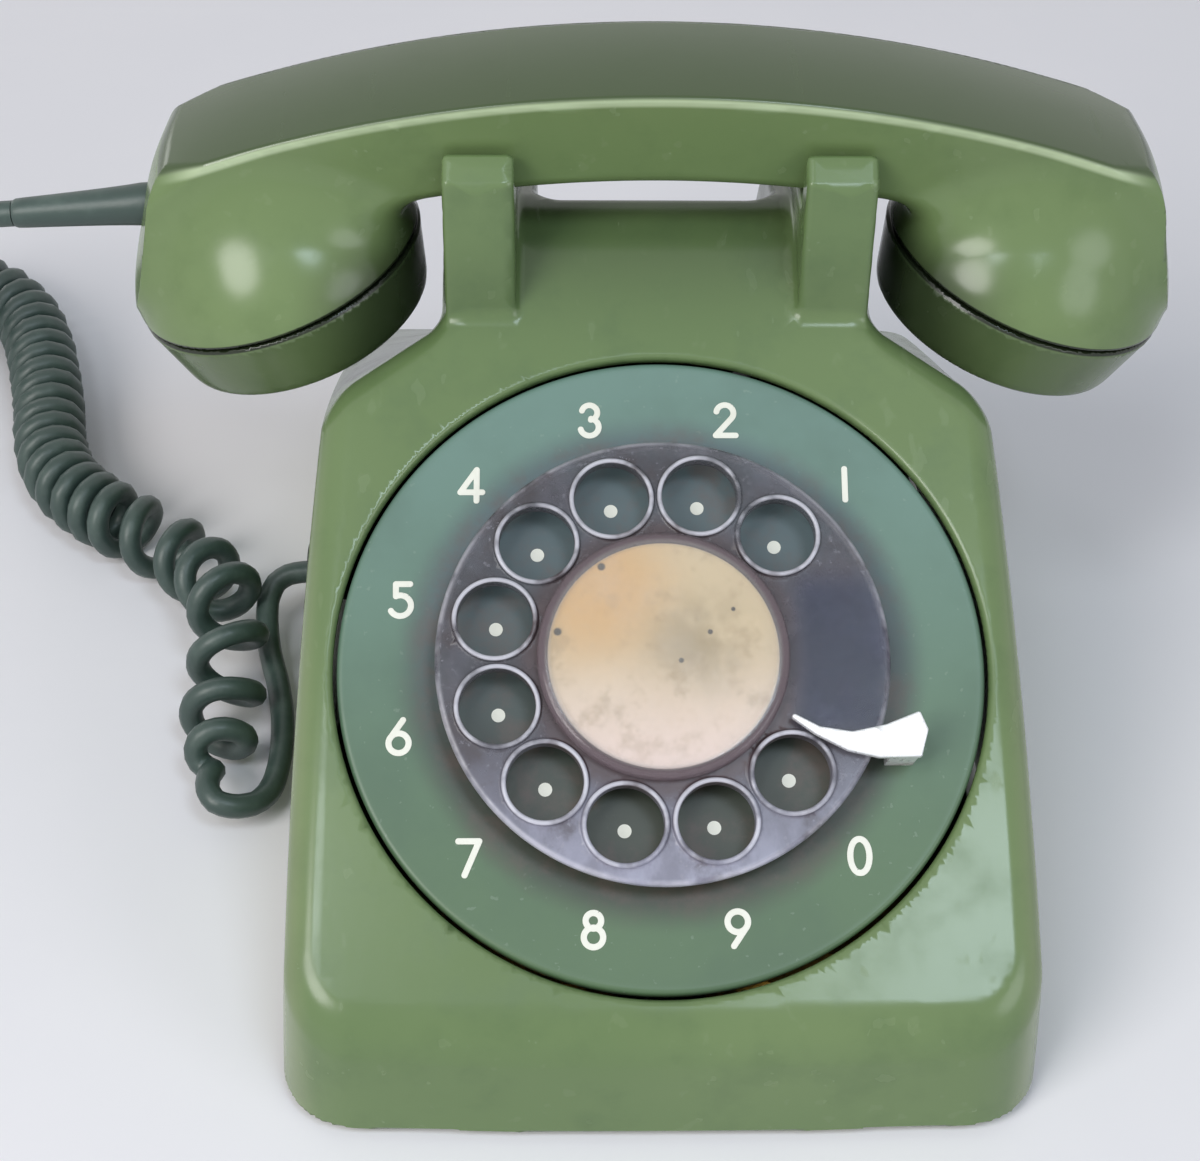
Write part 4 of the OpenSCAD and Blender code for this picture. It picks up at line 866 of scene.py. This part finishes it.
# Strokes of each digit: lines between two points, arcs by centre, radius and angles, and an oval
DIGITS = {
    "1": [("line", (0, DIGIT_H), (0, -DIGIT_H))],
    "2": [
        ("arc", (0, 1.45), 1.65, -38, 170),
        ("line", (1.3, 0.43), (-1.85, -DIGIT_H)),
        ("line", (-1.85, -DIGIT_H), (2.0, -DIGIT_H)),
    ],
    "3": [("arc", (0, 1.6), 1.5, -80, 165), ("arc", (0, -1.35), 1.75, -165, 80)],
    "4": [
        ("line", (1.0, DIGIT_H), (1.0, -DIGIT_H)),
        ("line", (1.0, DIGIT_H), (-2.1, -1.4)), ("line", (-2.1, -1.4), (2.1, -1.4)),
    ],
    "5": [
        ("arc", (-0.1, -1.1), 2.0, -150, 115),
        ("line", (-0.95, 0.72), (-1.0, DIGIT_H)), ("line", (-1.0, DIGIT_H), (1.7, DIGIT_H)),
    ],
    "6": [("arc", (0, -1.25), 1.85, 0, 360), ("line", (-1.6, -0.35), (0.75, DIGIT_H))],
    "7": [("line", (-1.9, DIGIT_H), (1.9, DIGIT_H)), ("line", (1.9, DIGIT_H), (-0.7, -DIGIT_H))],
    "8": [("arc", (0, 1.6), 1.4, 0, 360), ("arc", (0, -1.4), 1.75, 0, 360)],
    "9": [("arc", (0, 1.25), 1.85, 0, 360), ("line", (1.6, 0.35), (-0.75, -DIGIT_H))],
    "0": [("oval", (0, 0), 1.75, DIGIT_H)],
}
STROKE = 0.58
DIGIT_ROOM = (3.2, 4.2)  # half the box that a digit's skin is made in


def stroke_field(parts, u, v):
    """Distance to the strokes of one digit."""
    near = None
    for part in parts:
        if part[0] == "line":
            (au, av), (bu, bv) = part[1:]
            eu, ev = bu - au, bv - av
            t = np.clip(((u - au) * eu + (v - av) * ev) / (eu * eu + ev * ev), 0, 1)
            d = np.hypot(u - au - t * eu, v - av - t * ev)
        elif part[0] == "oval":
            (cu, cv), ru, rv = part[1:]
            k = np.hypot((u - cu) / ru, (v - cv) / rv)
            g = np.hypot((u - cu) / ru**2, (v - cv) / rv**2)
            d = np.abs(k * (k - 1) / np.maximum(g, 1e-6))
        else:
            (cu, cv), r, start, end = part[1:]
            angle = np.degrees(np.arctan2(v - cv, u - cu))
            middle, half = (start + end) / 2, (end - start) / 2
            off = np.abs((angle - middle + 180) % 360 - 180)
            d = np.abs(np.hypot(u - cu, v - cv) - r)
            for a in (start, end):
                tip_u, tip_v = on_ring(r, a)
                tip = np.hypot(u - cu - tip_u, v - cv - tip_v)
                d = np.where(off > half, np.minimum(np.where(a == start, tip, d), tip), d)
        near = d if near is None else np.minimum(near, d)
    return near - STROKE


def join(name, pieces):
    """Joins pieces into the first one."""
    with bpy.context.temp_override(
        active_object=pieces[0], selected_editable_objects=pieces, object=pieces[0]
    ):
        bpy.ops.object.join()
    pieces[0].name = name
    pieces[0].data.name = name
    return pieces[0]


# ---------------------------------------------------------------- cord

# The cord's route: a plain end at the housing, the axis of the coil and a plain end at the handset
BASE_END = [
    (-70.8, 28, 12.5), (-75, 27.6, 12.2), (-78, 26, 11), (-79.5, 22.5, 8.8), (-79.3, 17, 6.4), (-78, 10, 4.8),
    (-76, 3, 4.2), (-74.4, -5, 4), (-73.6, -13, 4), (-73.6, -21, 4.2), (-74.6, -28, 5), (-77.5, -33, 6.5),
    (-83, -34.5, 8.2), (-86, -31.4, 9), (-86, -27, 9),
]
CURL = [
    (-86, -27, 9), (-86, -19, 9), (-85.4, -11, 9.8), (-85, -3, 12), (-85.4, 5, 15), (-86.4, 13, 16.4),
    (-89, 20.5, 15.2), (-92.8, 27.5, 12.2), (-97.4, 34, 9.8), (-104, 40.5, 9), (-112, 46.5, 9),
    (-120, 52.5, 9), (-127, 59.5, 9), (-132, 68, 9), (-135, 78, 9), (-137, 89, 9), (-140, 101, 9),
    (-143.5, 113, 9), (-148.5, 124.5, 9), (-156.5, 133.5, 9.5), (-167, 137.5, 11.5), (-177.5, 134.5, 16),
    (-184.5, 126, 23), (-187.5, 114.5, 32), (-187, 102, 42), (-183, 89.5, 52.5), (-176.5, 77.5, 63),
    (-168, 66, 73), (-159, 55.5, 82),
]
HANDSET_END = [
    (-159, 55.5, 82), (-154, 50, 87.2), (-148.5, 44.5, 91.8), (-142, 38.5, 95.9), (-134.5, 31.5, 99.4),
    (-126.5, 28.3, 101.1), (-118.8, 28, 101.77),
]
CORD_D = 4.8
COIL_R = 6.1
# Steps in millimetres between points of the cord's plain ends, of the coil's axis and of the cord itself
LEAD_STEP, AXIS_STEP, CORD_STEP = 2.5, 0.5, 1.55
# Turns stand further apart by the housing's side and on the stretch behind the handset
COIL_PITCH = ((0, 9), (12, 10.5), (26, 13), (80, 13), (92, 5.5), (240, 5.5), (262, 9))


def smooth_path(points, step):
    """A smooth curve through points, as points a step apart."""
    points = np.array(points, float)
    ends = np.vstack([2 * points[0] - points[1], points, 2 * points[-1] - points[-2]])
    dense = []
    for i in range(len(points) - 1):
        p = ends[i : i + 4]
        for t in np.linspace(0, 1, 24, endpoint=False):
            dense.append(
                0.5 * (2 * p[1] + (p[2] - p[0]) * t + (2 * p[0] - 5 * p[1] + 4 * p[2] - p[3]) * t**2
                + (3 * p[1] - p[0] - 3 * p[2] + p[3]) * t**3)
            )
    dense.append(points[-1])
    dense = np.array(dense)
    run = np.concatenate([[0], np.cumsum(np.linalg.norm(np.diff(dense, axis=0), axis=1))])
    even = np.linspace(0, run[-1], max(2, int(round(run[-1] / step)) + 1))
    return np.stack([np.interp(even, run, dense[:, i]) for i in range(3)], 1), run[-1]


def transport(path):
    """Two cross directions along a path that turn with it and don't spin."""
    tangents = np.gradient(path, axis=0)
    tangents /= np.linalg.norm(tangents, axis=1)[:, None]
    first = np.cross(tangents[0], (0, 0, 1))
    first /= np.linalg.norm(first)
    sides = [first]
    for t in tangents[1:]:
        s = sides[-1] - t * np.dot(sides[-1], t)
        sides.append(s / np.linalg.norm(s))
    sides = np.array(sides)
    return tangents, sides, np.cross(tangents, sides)


def tube_faces(count, around):
    """Quads of a tube of rings, closed at both ends by one face each."""
    faces = []
    for i in range(count - 1):
        for j in range(around):
            k = (j + 1) % around
            faces.append((i * around + j, i * around + k, (i + 1) * around + k, (i + 1) * around + j))
    faces.append(tuple(range(around))[::-1])
    faces.append(tuple((count - 1) * around + j for j in range(around)))
    return faces


def cord_path():
    """The cord's own centreline in millimetres: a lead, the curls and a lead."""
    first, _ = smooth_path(BASE_END, LEAD_STEP)
    axis, length = smooth_path(CURL, AXIS_STEP)
    last, _ = smooth_path(HANDSET_END, LEAD_STEP)
    run = np.linspace(0, length, len(axis))
    pitch = np.interp(run, *zip(*COIL_PITCH))
    radius = np.interp(run, [0, 9, length - 14, length], [0.0, COIL_R, COIL_R, 0.0])
    turn = np.concatenate([[0], np.cumsum(AXIS_STEP / ((pitch[1:] + pitch[:-1]) / 2))]) * 2 * math.pi
    _, side, up = transport(axis)
    coil = axis + radius[:, None] * (np.cos(turn)[:, None] * side + np.sin(turn)[:, None] * up)
    path = np.vstack([first[:-1], coil, last[1:]])
    seg = np.linalg.norm(np.diff(path, axis=0), axis=1)
    run = np.concatenate([[0], np.cumsum(seg)])
    even = np.linspace(0, run[-1], int(run[-1] / CORD_STEP))
    path = np.stack([np.interp(even, run, path[:, i]) for i in range(3)], 1)
    return path, run[-1]


# ---------------------------------------------------------------- geometry nodes


def node_tree(name, inputs):
    """A geometry node tree with named inputs, and a method that adds nodes by type."""
    tree = bpy.data.node_groups.new(name, "GeometryNodeTree")
    tree.interface.new_socket("Geometry", in_out="INPUT", socket_type="NodeSocketGeometry")
    for label, kind in inputs:
        tree.interface.new_socket(label, in_out="INPUT", socket_type=kind)
    tree.interface.new_socket("Geometry", in_out="OUTPUT", socket_type="NodeSocketGeometry")
    source = tree.nodes.new("NodeGroupInput")

    def add(kind, settings, links):
        node = tree.nodes.new(kind)
        for key, value in settings.items():
            setattr(node, key, value)
        for key, value in links.items():
            if isinstance(value, bpy.types.NodeSocket):
                tree.links.new(value, node.inputs[key])
            else:
                node.inputs[key].default_value = value
        return node.outputs

    return tree, source.outputs, add


def dots_tree():
    """Flat round dots spaced evenly on part of a ring."""
    tree, given, add = node_tree(
        "ring_of_dots",
        [("Count", "NodeSocketInt"), ("Ring Radius", "NodeSocketFloat"), ("Dot Radius", "NodeSocketFloat"),
         ("Start Angle", "NodeSocketFloat"), ("Step Angle", "NodeSocketFloat"),
         ("Finish", "NodeSocketMaterial")],
    )
    line = add("GeometryNodeMeshLine", {}, {"Count": given["Count"], "Offset": (0, 0, 0)})
    index = add("GeometryNodeInputIndex", {}, {})
    turn = add("ShaderNodeMath", {"operation": "MULTIPLY_ADD"},
               {0: index["Index"], 1: given["Step Angle"], 2: given["Start Angle"]})
    angles = add("ShaderNodeCombineXYZ", {}, {"Z": turn[0]})
    arm = add("ShaderNodeCombineXYZ", {}, {"X": given["Ring Radius"]})
    spot = add("ShaderNodeVectorRotate", {"rotation_type": "EULER_XYZ"},
               {"Vector": arm[0], "Rotation": angles[0]})
    points = add("GeometryNodeSetPosition", {}, {"Geometry": line["Mesh"], "Position": spot[0]})
    dot = add("GeometryNodeMeshCylinder", {},
              {"Vertices": 28, "Radius": given["Dot Radius"], "Depth": 0.12 * MM})
    copies = add("GeometryNodeInstanceOnPoints", {}, {"Points": points[0], "Instance": dot["Mesh"]})
    solid = add("GeometryNodeRealizeInstances", {}, {"Geometry": copies[0]})
    done = add("GeometryNodeSetMaterial", {}, {"Geometry": solid[0], "Material": given["Finish"]})
    out = tree.nodes.new("NodeGroupOutput")
    tree.links.new(done[0], out.inputs[0])
    return tree


def from_nodes(name, tree, values, place):
    """A plain mesh piece made by a geometry node tree and put in place."""
    carrier = add_object(name + "_nodes", bpy.data.meshes.new(name + "_nodes"))
    modifier = carrier.modifiers.new("nodes", "NODES")
    modifier.node_group = tree
    for item in tree.interface.items_tree:
        if item.item_type == "SOCKET" and item.in_out == "INPUT" and item.name in values:
            modifier[item.identifier] = values[item.name]
    bpy.context.view_layer.update()
    graph = bpy.context.evaluated_depsgraph_get()
    mesh = bpy.data.meshes.new_from_object(carrier.evaluated_get(graph))
    mesh.name = name
    mesh.transform(place)
    bpy.data.objects.remove(carrier)
    return add_object(name, mesh)


# ---------------------------------------------------------------- user's values


def length_value(name, text, default):
    """A length that a user may set."""
    return FloatProperty(name=name, description=text, default=default, subtype="DISTANCE", unit="LENGTH")


def power_value(name, text, default):
    """A lamp's power that a user may set."""
    return FloatProperty(name=name, description=text, default=default, unit="POWER")


def colour_value(name, text, code):
    """A colour that a user may set."""
    default = linear(code)[:3]
    return FloatVectorProperty(name=name, description=text, subtype="COLOR", default=default, min=0, max=1)


class TelephoneLook(bpy.types.PropertyGroup):
    """Colours of the telephone."""

    tone: colour_value("Housing Colour", "Colour of the housing in the viewport", "6d8058")


class TelephoneDial(bpy.types.PropertyGroup):
    """Sizes of the dial's print."""

    dot_radius: length_value("Dot Radius", "Radius of the dot under each finger hole", 1.2 * MM)
    dots: IntProperty(name="Dots", description="Number of dots under the wheel", default=10, min=1, max=12)
    print_height: length_value("Print Height", "How far the print stands up from the plate", 0.1 * MM)


class TelephoneCord(bpy.types.PropertyGroup):
    """Sizes of the curly cord."""

    diameter: length_value("Cord Diameter", "Thickness of the cord itself", CORD_D * MM)
    sides: IntProperty(
        name="Sides", description="Sides of the cord's round section", default=10, min=6, max=16
    )


class TelephoneStage(bpy.types.PropertyGroup):
    """The floor and the light."""

    key: power_value("Key Light", "Power of the large lamp", 17.0)
    fill: power_value("Fill Light", "Power of the lamp on the right, which the rear lamp follows", 5.5)
    sky: power_value("Sky Light", "Power of the right small lamp, which the left one follows", 5.0)
    ambient: FloatProperty(name="Ambient", description="Strength of the even light", default=0.25)
    floor: colour_value("Floor Colour", "Colour of the floor", "f1eef2")


GROUPS = {
    "telephone_look": TelephoneLook,
    "telephone_dial": TelephoneDial,
    "telephone_cord": TelephoneCord,
    "telephone_stage": TelephoneStage,
}


# ---------------------------------------------------------------- operators

# The camera's eye in millimetres, its turns, its focal length in pixels of an image this wide,
# and the width of its sensor
EYE = np.array([-17.5, -320.7, 326.7])
YAW, PITCH, ROLL = math.radians(1.39), math.radians(42.25), math.radians(-0.92)
FOCAL, IMAGE_W, SENSOR = 2200.0, 1200.0, 36.0


class TELEPHONE_OT_camera(bpy.types.Operator):
    """Places the camera in front of the telephone, looking down at it"""

    bl_idname = "telephone.camera"
    bl_label = "Camera"

    def execute(self, context):
        look = np.array(
            [math.sin(YAW) * math.cos(PITCH), math.cos(YAW) * math.cos(PITCH), -math.sin(PITCH)]
        )
        level = np.array([math.cos(YAW), -math.sin(YAW), 0])
        down = np.cross(look, level)
        right = math.cos(ROLL) * level + math.sin(ROLL) * down
        below = -math.sin(ROLL) * level + math.cos(ROLL) * down
        data = bpy.data.cameras.new("camera")
        data.sensor_width = SENSOR
        data.lens = SENSOR * FOCAL / IMAGE_W
        data.clip_start = 0.01
        camera = add_object("camera", data)
        axes = Matrix((right, -below, -look)).transposed()
        camera.matrix_world = Matrix.Translation(Vector(EYE * MM)) @ axes.to_4x4()
        context.scene.camera = camera
        return {"FINISHED"}


class TELEPHONE_OT_stage(bpy.types.Operator):
    """Makes the pale floor, the lamps and the white background"""

    bl_idname = "telephone.stage"
    bl_label = "Stage"

    def execute(self, context):
        values = context.scene.telephone_stage
        mesh = bmesh.new()
        bmesh.ops.create_circle(mesh, cap_ends=True, radius=4.0, segments=96)
        data = bpy.data.meshes.new("floor")
        mesh.to_mesh(data)
        mesh.free()
        floor = add_object("floor", data)
        f = Finish("floor_paint", Roughness=0.55)
        cloud = f.noise(6, 5, 0.6)
        f.colour = f.mix(cloud.above(0.35, 0.7) * 0.4, tuple(values.floor) + (1.0,), "faf6f8")
        f.paint()
        data.materials.append(f.material)
        self.lamp("key_lamp", (-1.0, -1.0, 1.15), 0.9, values.key, (1.0, 0.985, 0.96))
        self.lamp("right_lamp", (1.25, -1.1, 0.8), 0.9, values.fill, (0.93, 0.96, 1.0))
        self.lamp("sky_lamp_right", (0.37, -0.72, 1.39), 0.42, values.sky, (0.72, 0.86, 1.0))
        self.lamp("sky_lamp_left", (-0.42, -0.68, 1.39), 0.34, 0.55 * values.sky, (0.85, 0.93, 1.0))
        self.lamp("rear_lamp", (-1.2, 1.3, 0.5), 0.6, 0.3 * values.fill, (1.0, 1.0, 1.0))
        self.background(context, values.ambient)
        context.scene.view_settings.view_transform = "Standard"
        return {"FINISHED"}

    def lamp(self, name, place, size, power, colour):
        """A round lamp aimed at the middle of the telephone."""
        data = bpy.data.lights.new(name, "AREA")
        data.shape = "DISK"
        data.size = size
        data.energy = power
        data.color = colour
        lamp = add_object(name, data)
        lamp.location = place
        aim = Vector((0, 0, 0.06)) - Vector(place)
        lamp.rotation_euler = aim.to_track_quat("-Z", "Y").to_euler()

    def background(self, context, strength):
        """White where the camera, gloss or clear plastic looks at it, and an even light elsewhere."""
        world = bpy.data.worlds.new("plain_world")
        context.scene.world = world
        world.use_nodes = True
        nodes, links = world.node_tree.nodes, world.node_tree.links
        nodes.clear()
        path = nodes.new("ShaderNodeLightPath")
        white, even = nodes.new("ShaderNodeBackground"), nodes.new("ShaderNodeBackground")
        white.inputs["Color"].default_value = (1, 1, 1, 1)
        even.inputs["Color"].default_value = (0.94, 0.97, 1.0, 1)
        even.inputs["Strength"].default_value = strength
        seen = path.outputs["Is Camera Ray"]
        for output in ("Is Glossy Ray", "Is Transmission Ray"):
            either = nodes.new("ShaderNodeMath")
            either.operation = "MAXIMUM"
            links.new(seen, either.inputs[0])
            links.new(path.outputs[output], either.inputs[1])
            seen = either.outputs[0]
        choose = nodes.new("ShaderNodeMixShader")
        for socket, output in zip(choose.inputs, (seen, even.outputs[0], white.outputs[0])):
            links.new(output, socket)
        out = nodes.new("ShaderNodeOutputWorld")
        links.new(choose.outputs[0], out.inputs[0])


class TELEPHONE_OT_cord(bpy.types.Operator):
    """Makes the curly handset cord and its boot"""

    bl_idname = "telephone.cord"
    bl_label = "Handset Cord"

    def execute(self, context):
        values = context.scene.telephone_cord
        path, length = cord_path()
        _, side, up = transport(path)
        around = values.sides
        angles = np.arange(around) * 2 * math.pi / around
        radius = values.diameter / MM / 2
        rings = path[:, None] + radius * (
            np.cos(angles)[None, :, None] * side[:, None] + np.sin(angles)[None, :, None] * up[:, None]
        )
        normals = (rings - path[:, None]).reshape(-1, 3) / radius
        cord = new_mesh("handset_cord", rings.reshape(-1, 3) * MM, tube_faces(len(path), around), normals)
        cord.data.materials.append(FINISHES["cord_rubber"])
        boot = lathe("boot", BOOT_PROFILE, self.boot_place(), 48)
        settle(boot, "handset", "cord_rubber", "cord_rubber", "cord_boot")
        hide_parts("cord_base_end", "cord_curl", "cord_handset_end")
        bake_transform(cord)
        return {"FINISHED"}

    def boot_place(self):
        """Matrix from the boot's own axis to the frame."""
        aim = Vector(BOOT_AXIS).to_track_quat("Z", "Y").to_matrix().to_4x4()
        return Matrix.Translation(Vector(BOOT_ROOT * MM)) @ aim


class TELEPHONE_OT_housing(bpy.types.Operator):
    """Makes the one-piece plastic housing with its cradle"""

    bl_idname = "telephone.housing"
    bl_label = "Housing"

    def execute(self, context):
        piece = skin("housing_body", housing_field, (-70, -106, 2), (70, 106, 125), *HOUSING_GRID)
        settle(piece, "base", "green_plastic", "green_plastic", "housing")
        return {"FINISHED"}


class TELEPHONE_OT_handset(bpy.types.Operator):
    """Makes the handset's shell and both screw caps"""

    bl_idname = "telephone.handset"
    bl_label = "Handset"

    def execute(self, context):
        shell = skin("handset_body", handset_field, (-100, -2, 80), (100, 58, 136), *HANDSET_GRID)
        settle(shell, "handset", "green_plastic", "handset_plastic", "handset_shell")
        for side, name, hole_r, ring_r in ((-1, "mouthpiece", 1.3, 7.0), (1, "earpiece", 1.6, 5.5)):
            low = (min(side * 38, side * 102), -2, 62)
            high = (max(side * 38, side * 102), 58, 108)
            field = cap_field(side, hole_r, ring_r)
            cap = skin(name + "_screw_cap", field, low, high, *HANDSET_GRID)
            settle(cap, "handset", "green_plastic", "handset_plastic", name + "_cap")
        return {"FINISHED"}


# Half sections of the number plate and the card's window as (radius, height) pairs
PLATE_PROFILE = [
    (8.0, -2.0), (8.0, PLATE_TOP), (54.6, PLATE_TOP), (55.2, -0.4), (55.7, -0.45), (56.1, -0.75),
    (56.3, -1.3), (56.3, -3.9), (54.9, -3.9), (54.9, -2.0),
]
WINDOW_PROFILE = [
    (0, 8.6), (19.4, 8.6), (19.75, 8.4), (19.8, 6.52), (21.3, 6.52), (21.5, 6.8), (21.5, 8.7),
    (21.2, 9.2), (20.6, 9.5), (19.6, 9.58), (0, 9.6),
]
# The finger stop in the dial's plane: a bent arm with a hooked tip, its thickness and its foot
STOP_HEIGHT, STOP_HALF_T = 8.6, 0.8
STOP_FOOT, STOP_FOOT_HALF, STOP_FOOT_Z = (40.5, -15), 2.1, -6.0
STOP_ARM = [
    (21.9, -10.9), (25.9, -13.0), (31.5, -13.9), (37.3, -12.7), (42.8, -10.5), (43.9, -13.2),
    (42.7, -17.4), (36, -17.5), (30.8, -16.3), (25.6, -13.6),
]


class TELEPHONE_OT_dial(bpy.types.Operator):
    """Makes the number plate, its print, the finger wheel, the card and the finger stop"""

    bl_idname = "telephone.dial"
    bl_label = "Dial"

    def execute(self, context):
        values = context.scene.telephone_dial
        plate = lathe("dial_number_plate", PLATE_PROFILE, dial_place(), 240)
        settle(plate, "base", "number_plate", "number_plate", "number_plate")
        self.print_digits(values)
        self.print_dots(values)
        low, high = (-39.5, -39.5, 3.6), (39.5, 39.5, 8.4)
        wheel = dial_skin("dial_wheel_disc", wheel_field, low, high, *WHEEL_GRID)
        settle(wheel, "dial_wheel", "clear_plastic", "clear_plastic", "finger_wheel")
        sheet = [(0, CARD_FOOT), (CARD_R, CARD_FOOT), (CARD_R, CARD_TOP), (0, CARD_TOP)]
        card = lathe("dial_card", sheet, dial_place(), 96)
        settle(card, "dial_wheel", "card", "card", "number_card")
        window = lathe("dial_card_cover", WINDOW_PROFILE, dial_place(), 160)
        settle(window, "dial_wheel", "clear_plastic", "window", "card_window")
        low, high = (20.5, -19, -6.5), (45.5, -9, 9.8)
        stop = dial_skin("dial_finger_stop", self.stop_field, low, high, *STOP_GRID)
        settle(stop, "base", "stop_metal", "stop_metal", "finger_stop")
        return {"FINISHED"}

    def stop_field(self, u, v, w):
        """The finger stop in the dial's own plane."""
        arm = polygon_field(STOP_ARM, u, v) - 0.45
        arm = blend_max(arm, np.abs(w - STOP_HEIGHT) - STOP_HALF_T, 0.4)
        foot_u, foot_v = np.abs(u - STOP_FOOT[0]), np.abs(v - STOP_FOOT[1])
        foot = np.maximum(foot_u - STOP_FOOT_HALF, foot_v - STOP_FOOT_HALF) - 0.35
        foot = common(foot, STOP_FOOT_Z - w, w - STOP_HEIGHT)
        return blend_min(arm, foot, 0.5)

    def print_digits(self, values):
        """Ten digits standing up a little from the number plate."""
        pieces = []
        height = values.print_height / MM
        for i, digit in enumerate("1234567890"):
            cu, cv = on_ring(DIGIT_RING, FIRST_DIGIT + HOLE_STEP * i)

            def field(u, v, w, parts=DIGITS[digit]):
                flat = stroke_field(parts, (u - cu) / DIGIT_SIZE, (v - cv) / DIGIT_SIZE)
                return blend_max(flat, np.abs(w - PLATE_TOP - height / 2) - height / 2 - 0.05, 0.04)

            low = (cu - DIGIT_ROOM[0], cv - DIGIT_ROOM[1], PLATE_TOP - 0.1)
            high = (cu + DIGIT_ROOM[0], cv + DIGIT_ROOM[1], PLATE_TOP + 0.25)
            pieces.append(dial_skin(f"digit_{digit}", field, low, high, *DIGIT_GRID))
        numbers = join("dial_numbers", pieces)
        settle(numbers, "base", "white_plastic", "print")

    def print_dots(self, values):
        """One dot under each finger hole."""
        sizes = {
            "Count": values.dots, "Ring Radius": HOLE_RING * MM, "Dot Radius": values.dot_radius,
            "Start Angle": math.radians(FIRST_HOLE), "Step Angle": math.radians(HOLE_STEP),
            "Finish": FINISHES["print"],
        }
        dots = from_nodes("dial_dots", dots_tree(), sizes, dial_place(PLATE_TOP + 0.02))
        settle(dots, "base", "white_plastic", "print")


NODE_FINISH = {
    "steel": (
        "base_plate", "housing_screws", "dial_chassis", "dial_brackets", "gear_bridge", "main_shaft",
        "ringer_frame", "gong_posts", "gong_screws", "clapper", "hook_bracket", "hook_lever",
    ),
    "brass": (
        "dial_screws", "pulse_contacts", "governor_drum", "wheel_screw", "main_gear", "pulse_shaft",
        "governor", "terminal_screws", "gong_large", "gong_small", "hook_contacts",
    ),
    "spring_steel": ("dial_spring",),
    "white_plastic": ("pulse_cam", "plunger_left", "plunger_right"),
    "black_plastic": ("network_block", "volume_wheel", "transmitter_cup", "receiver_cup"),
    "rubber": ("feet", "handset_cord_outlet", "line_cord_inlet"),
    "winding": ("ringer_coil",),
    "capsule_metal": ("transmitter", "receiver"),
}


class TELEPHONE_OT_inside(bpy.types.Operator):
    """Gives the base, the dial's mechanism, the ringer and the hook switch their finishes"""

    bl_idname = "telephone.inside"
    bl_label = "Mechanism"

    def execute(self, context):
        for finish, names in NODE_FINISH.items():
            for node in (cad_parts[name] for name in names):
                if not node.material_slots:
                    node.data.materials.append(FINISHES[finish])
                for slot in node.material_slots:
                    slot.material = FINISHES[finish]
        return {"FINISHED"}


class TELEPHONE_PT_panel(bpy.types.Panel):
    """Lists the telephone's sizes and the steps that build it"""

    bl_idname = "TELEPHONE_PT_panel"
    bl_label = "Telephone"
    bl_space_type = "VIEW_3D"
    bl_region_type = "UI"
    bl_category = "Telephone"

    def draw(self, context):
        for group, kind in GROUPS.items():
            box = self.layout.box()
            for key in kind.__annotations__:
                box.prop(getattr(context.scene, group), key)
        for step in STEPS:
            self.layout.operator(step.bl_idname)


STEPS = (
    TELEPHONE_OT_camera, TELEPHONE_OT_cord, TELEPHONE_OT_housing, TELEPHONE_OT_handset,
    TELEPHONE_OT_dial, TELEPHONE_OT_inside, TELEPHONE_OT_stage,
)
CLASSES = (*GROUPS.values(), *STEPS, TELEPHONE_PT_panel)


def register():
    for kind in CLASSES:
        bpy.utils.register_class(kind)
    for name, kind in GROUPS.items():
        setattr(bpy.types.Scene, name, PointerProperty(type=kind))


def unregister():
    for name in GROUPS:
        delattr(bpy.types.Scene, name)
    for kind in reversed(CLASSES):
        bpy.utils.unregister_class(kind)


def main():
    register()
    make_finishes(bpy.context.scene.telephone_look)
    for step in STEPS:
        family, action = step.bl_idname.split(".")
        getattr(getattr(bpy.ops, family), action)()


if __name__ == "__main__":
    main()
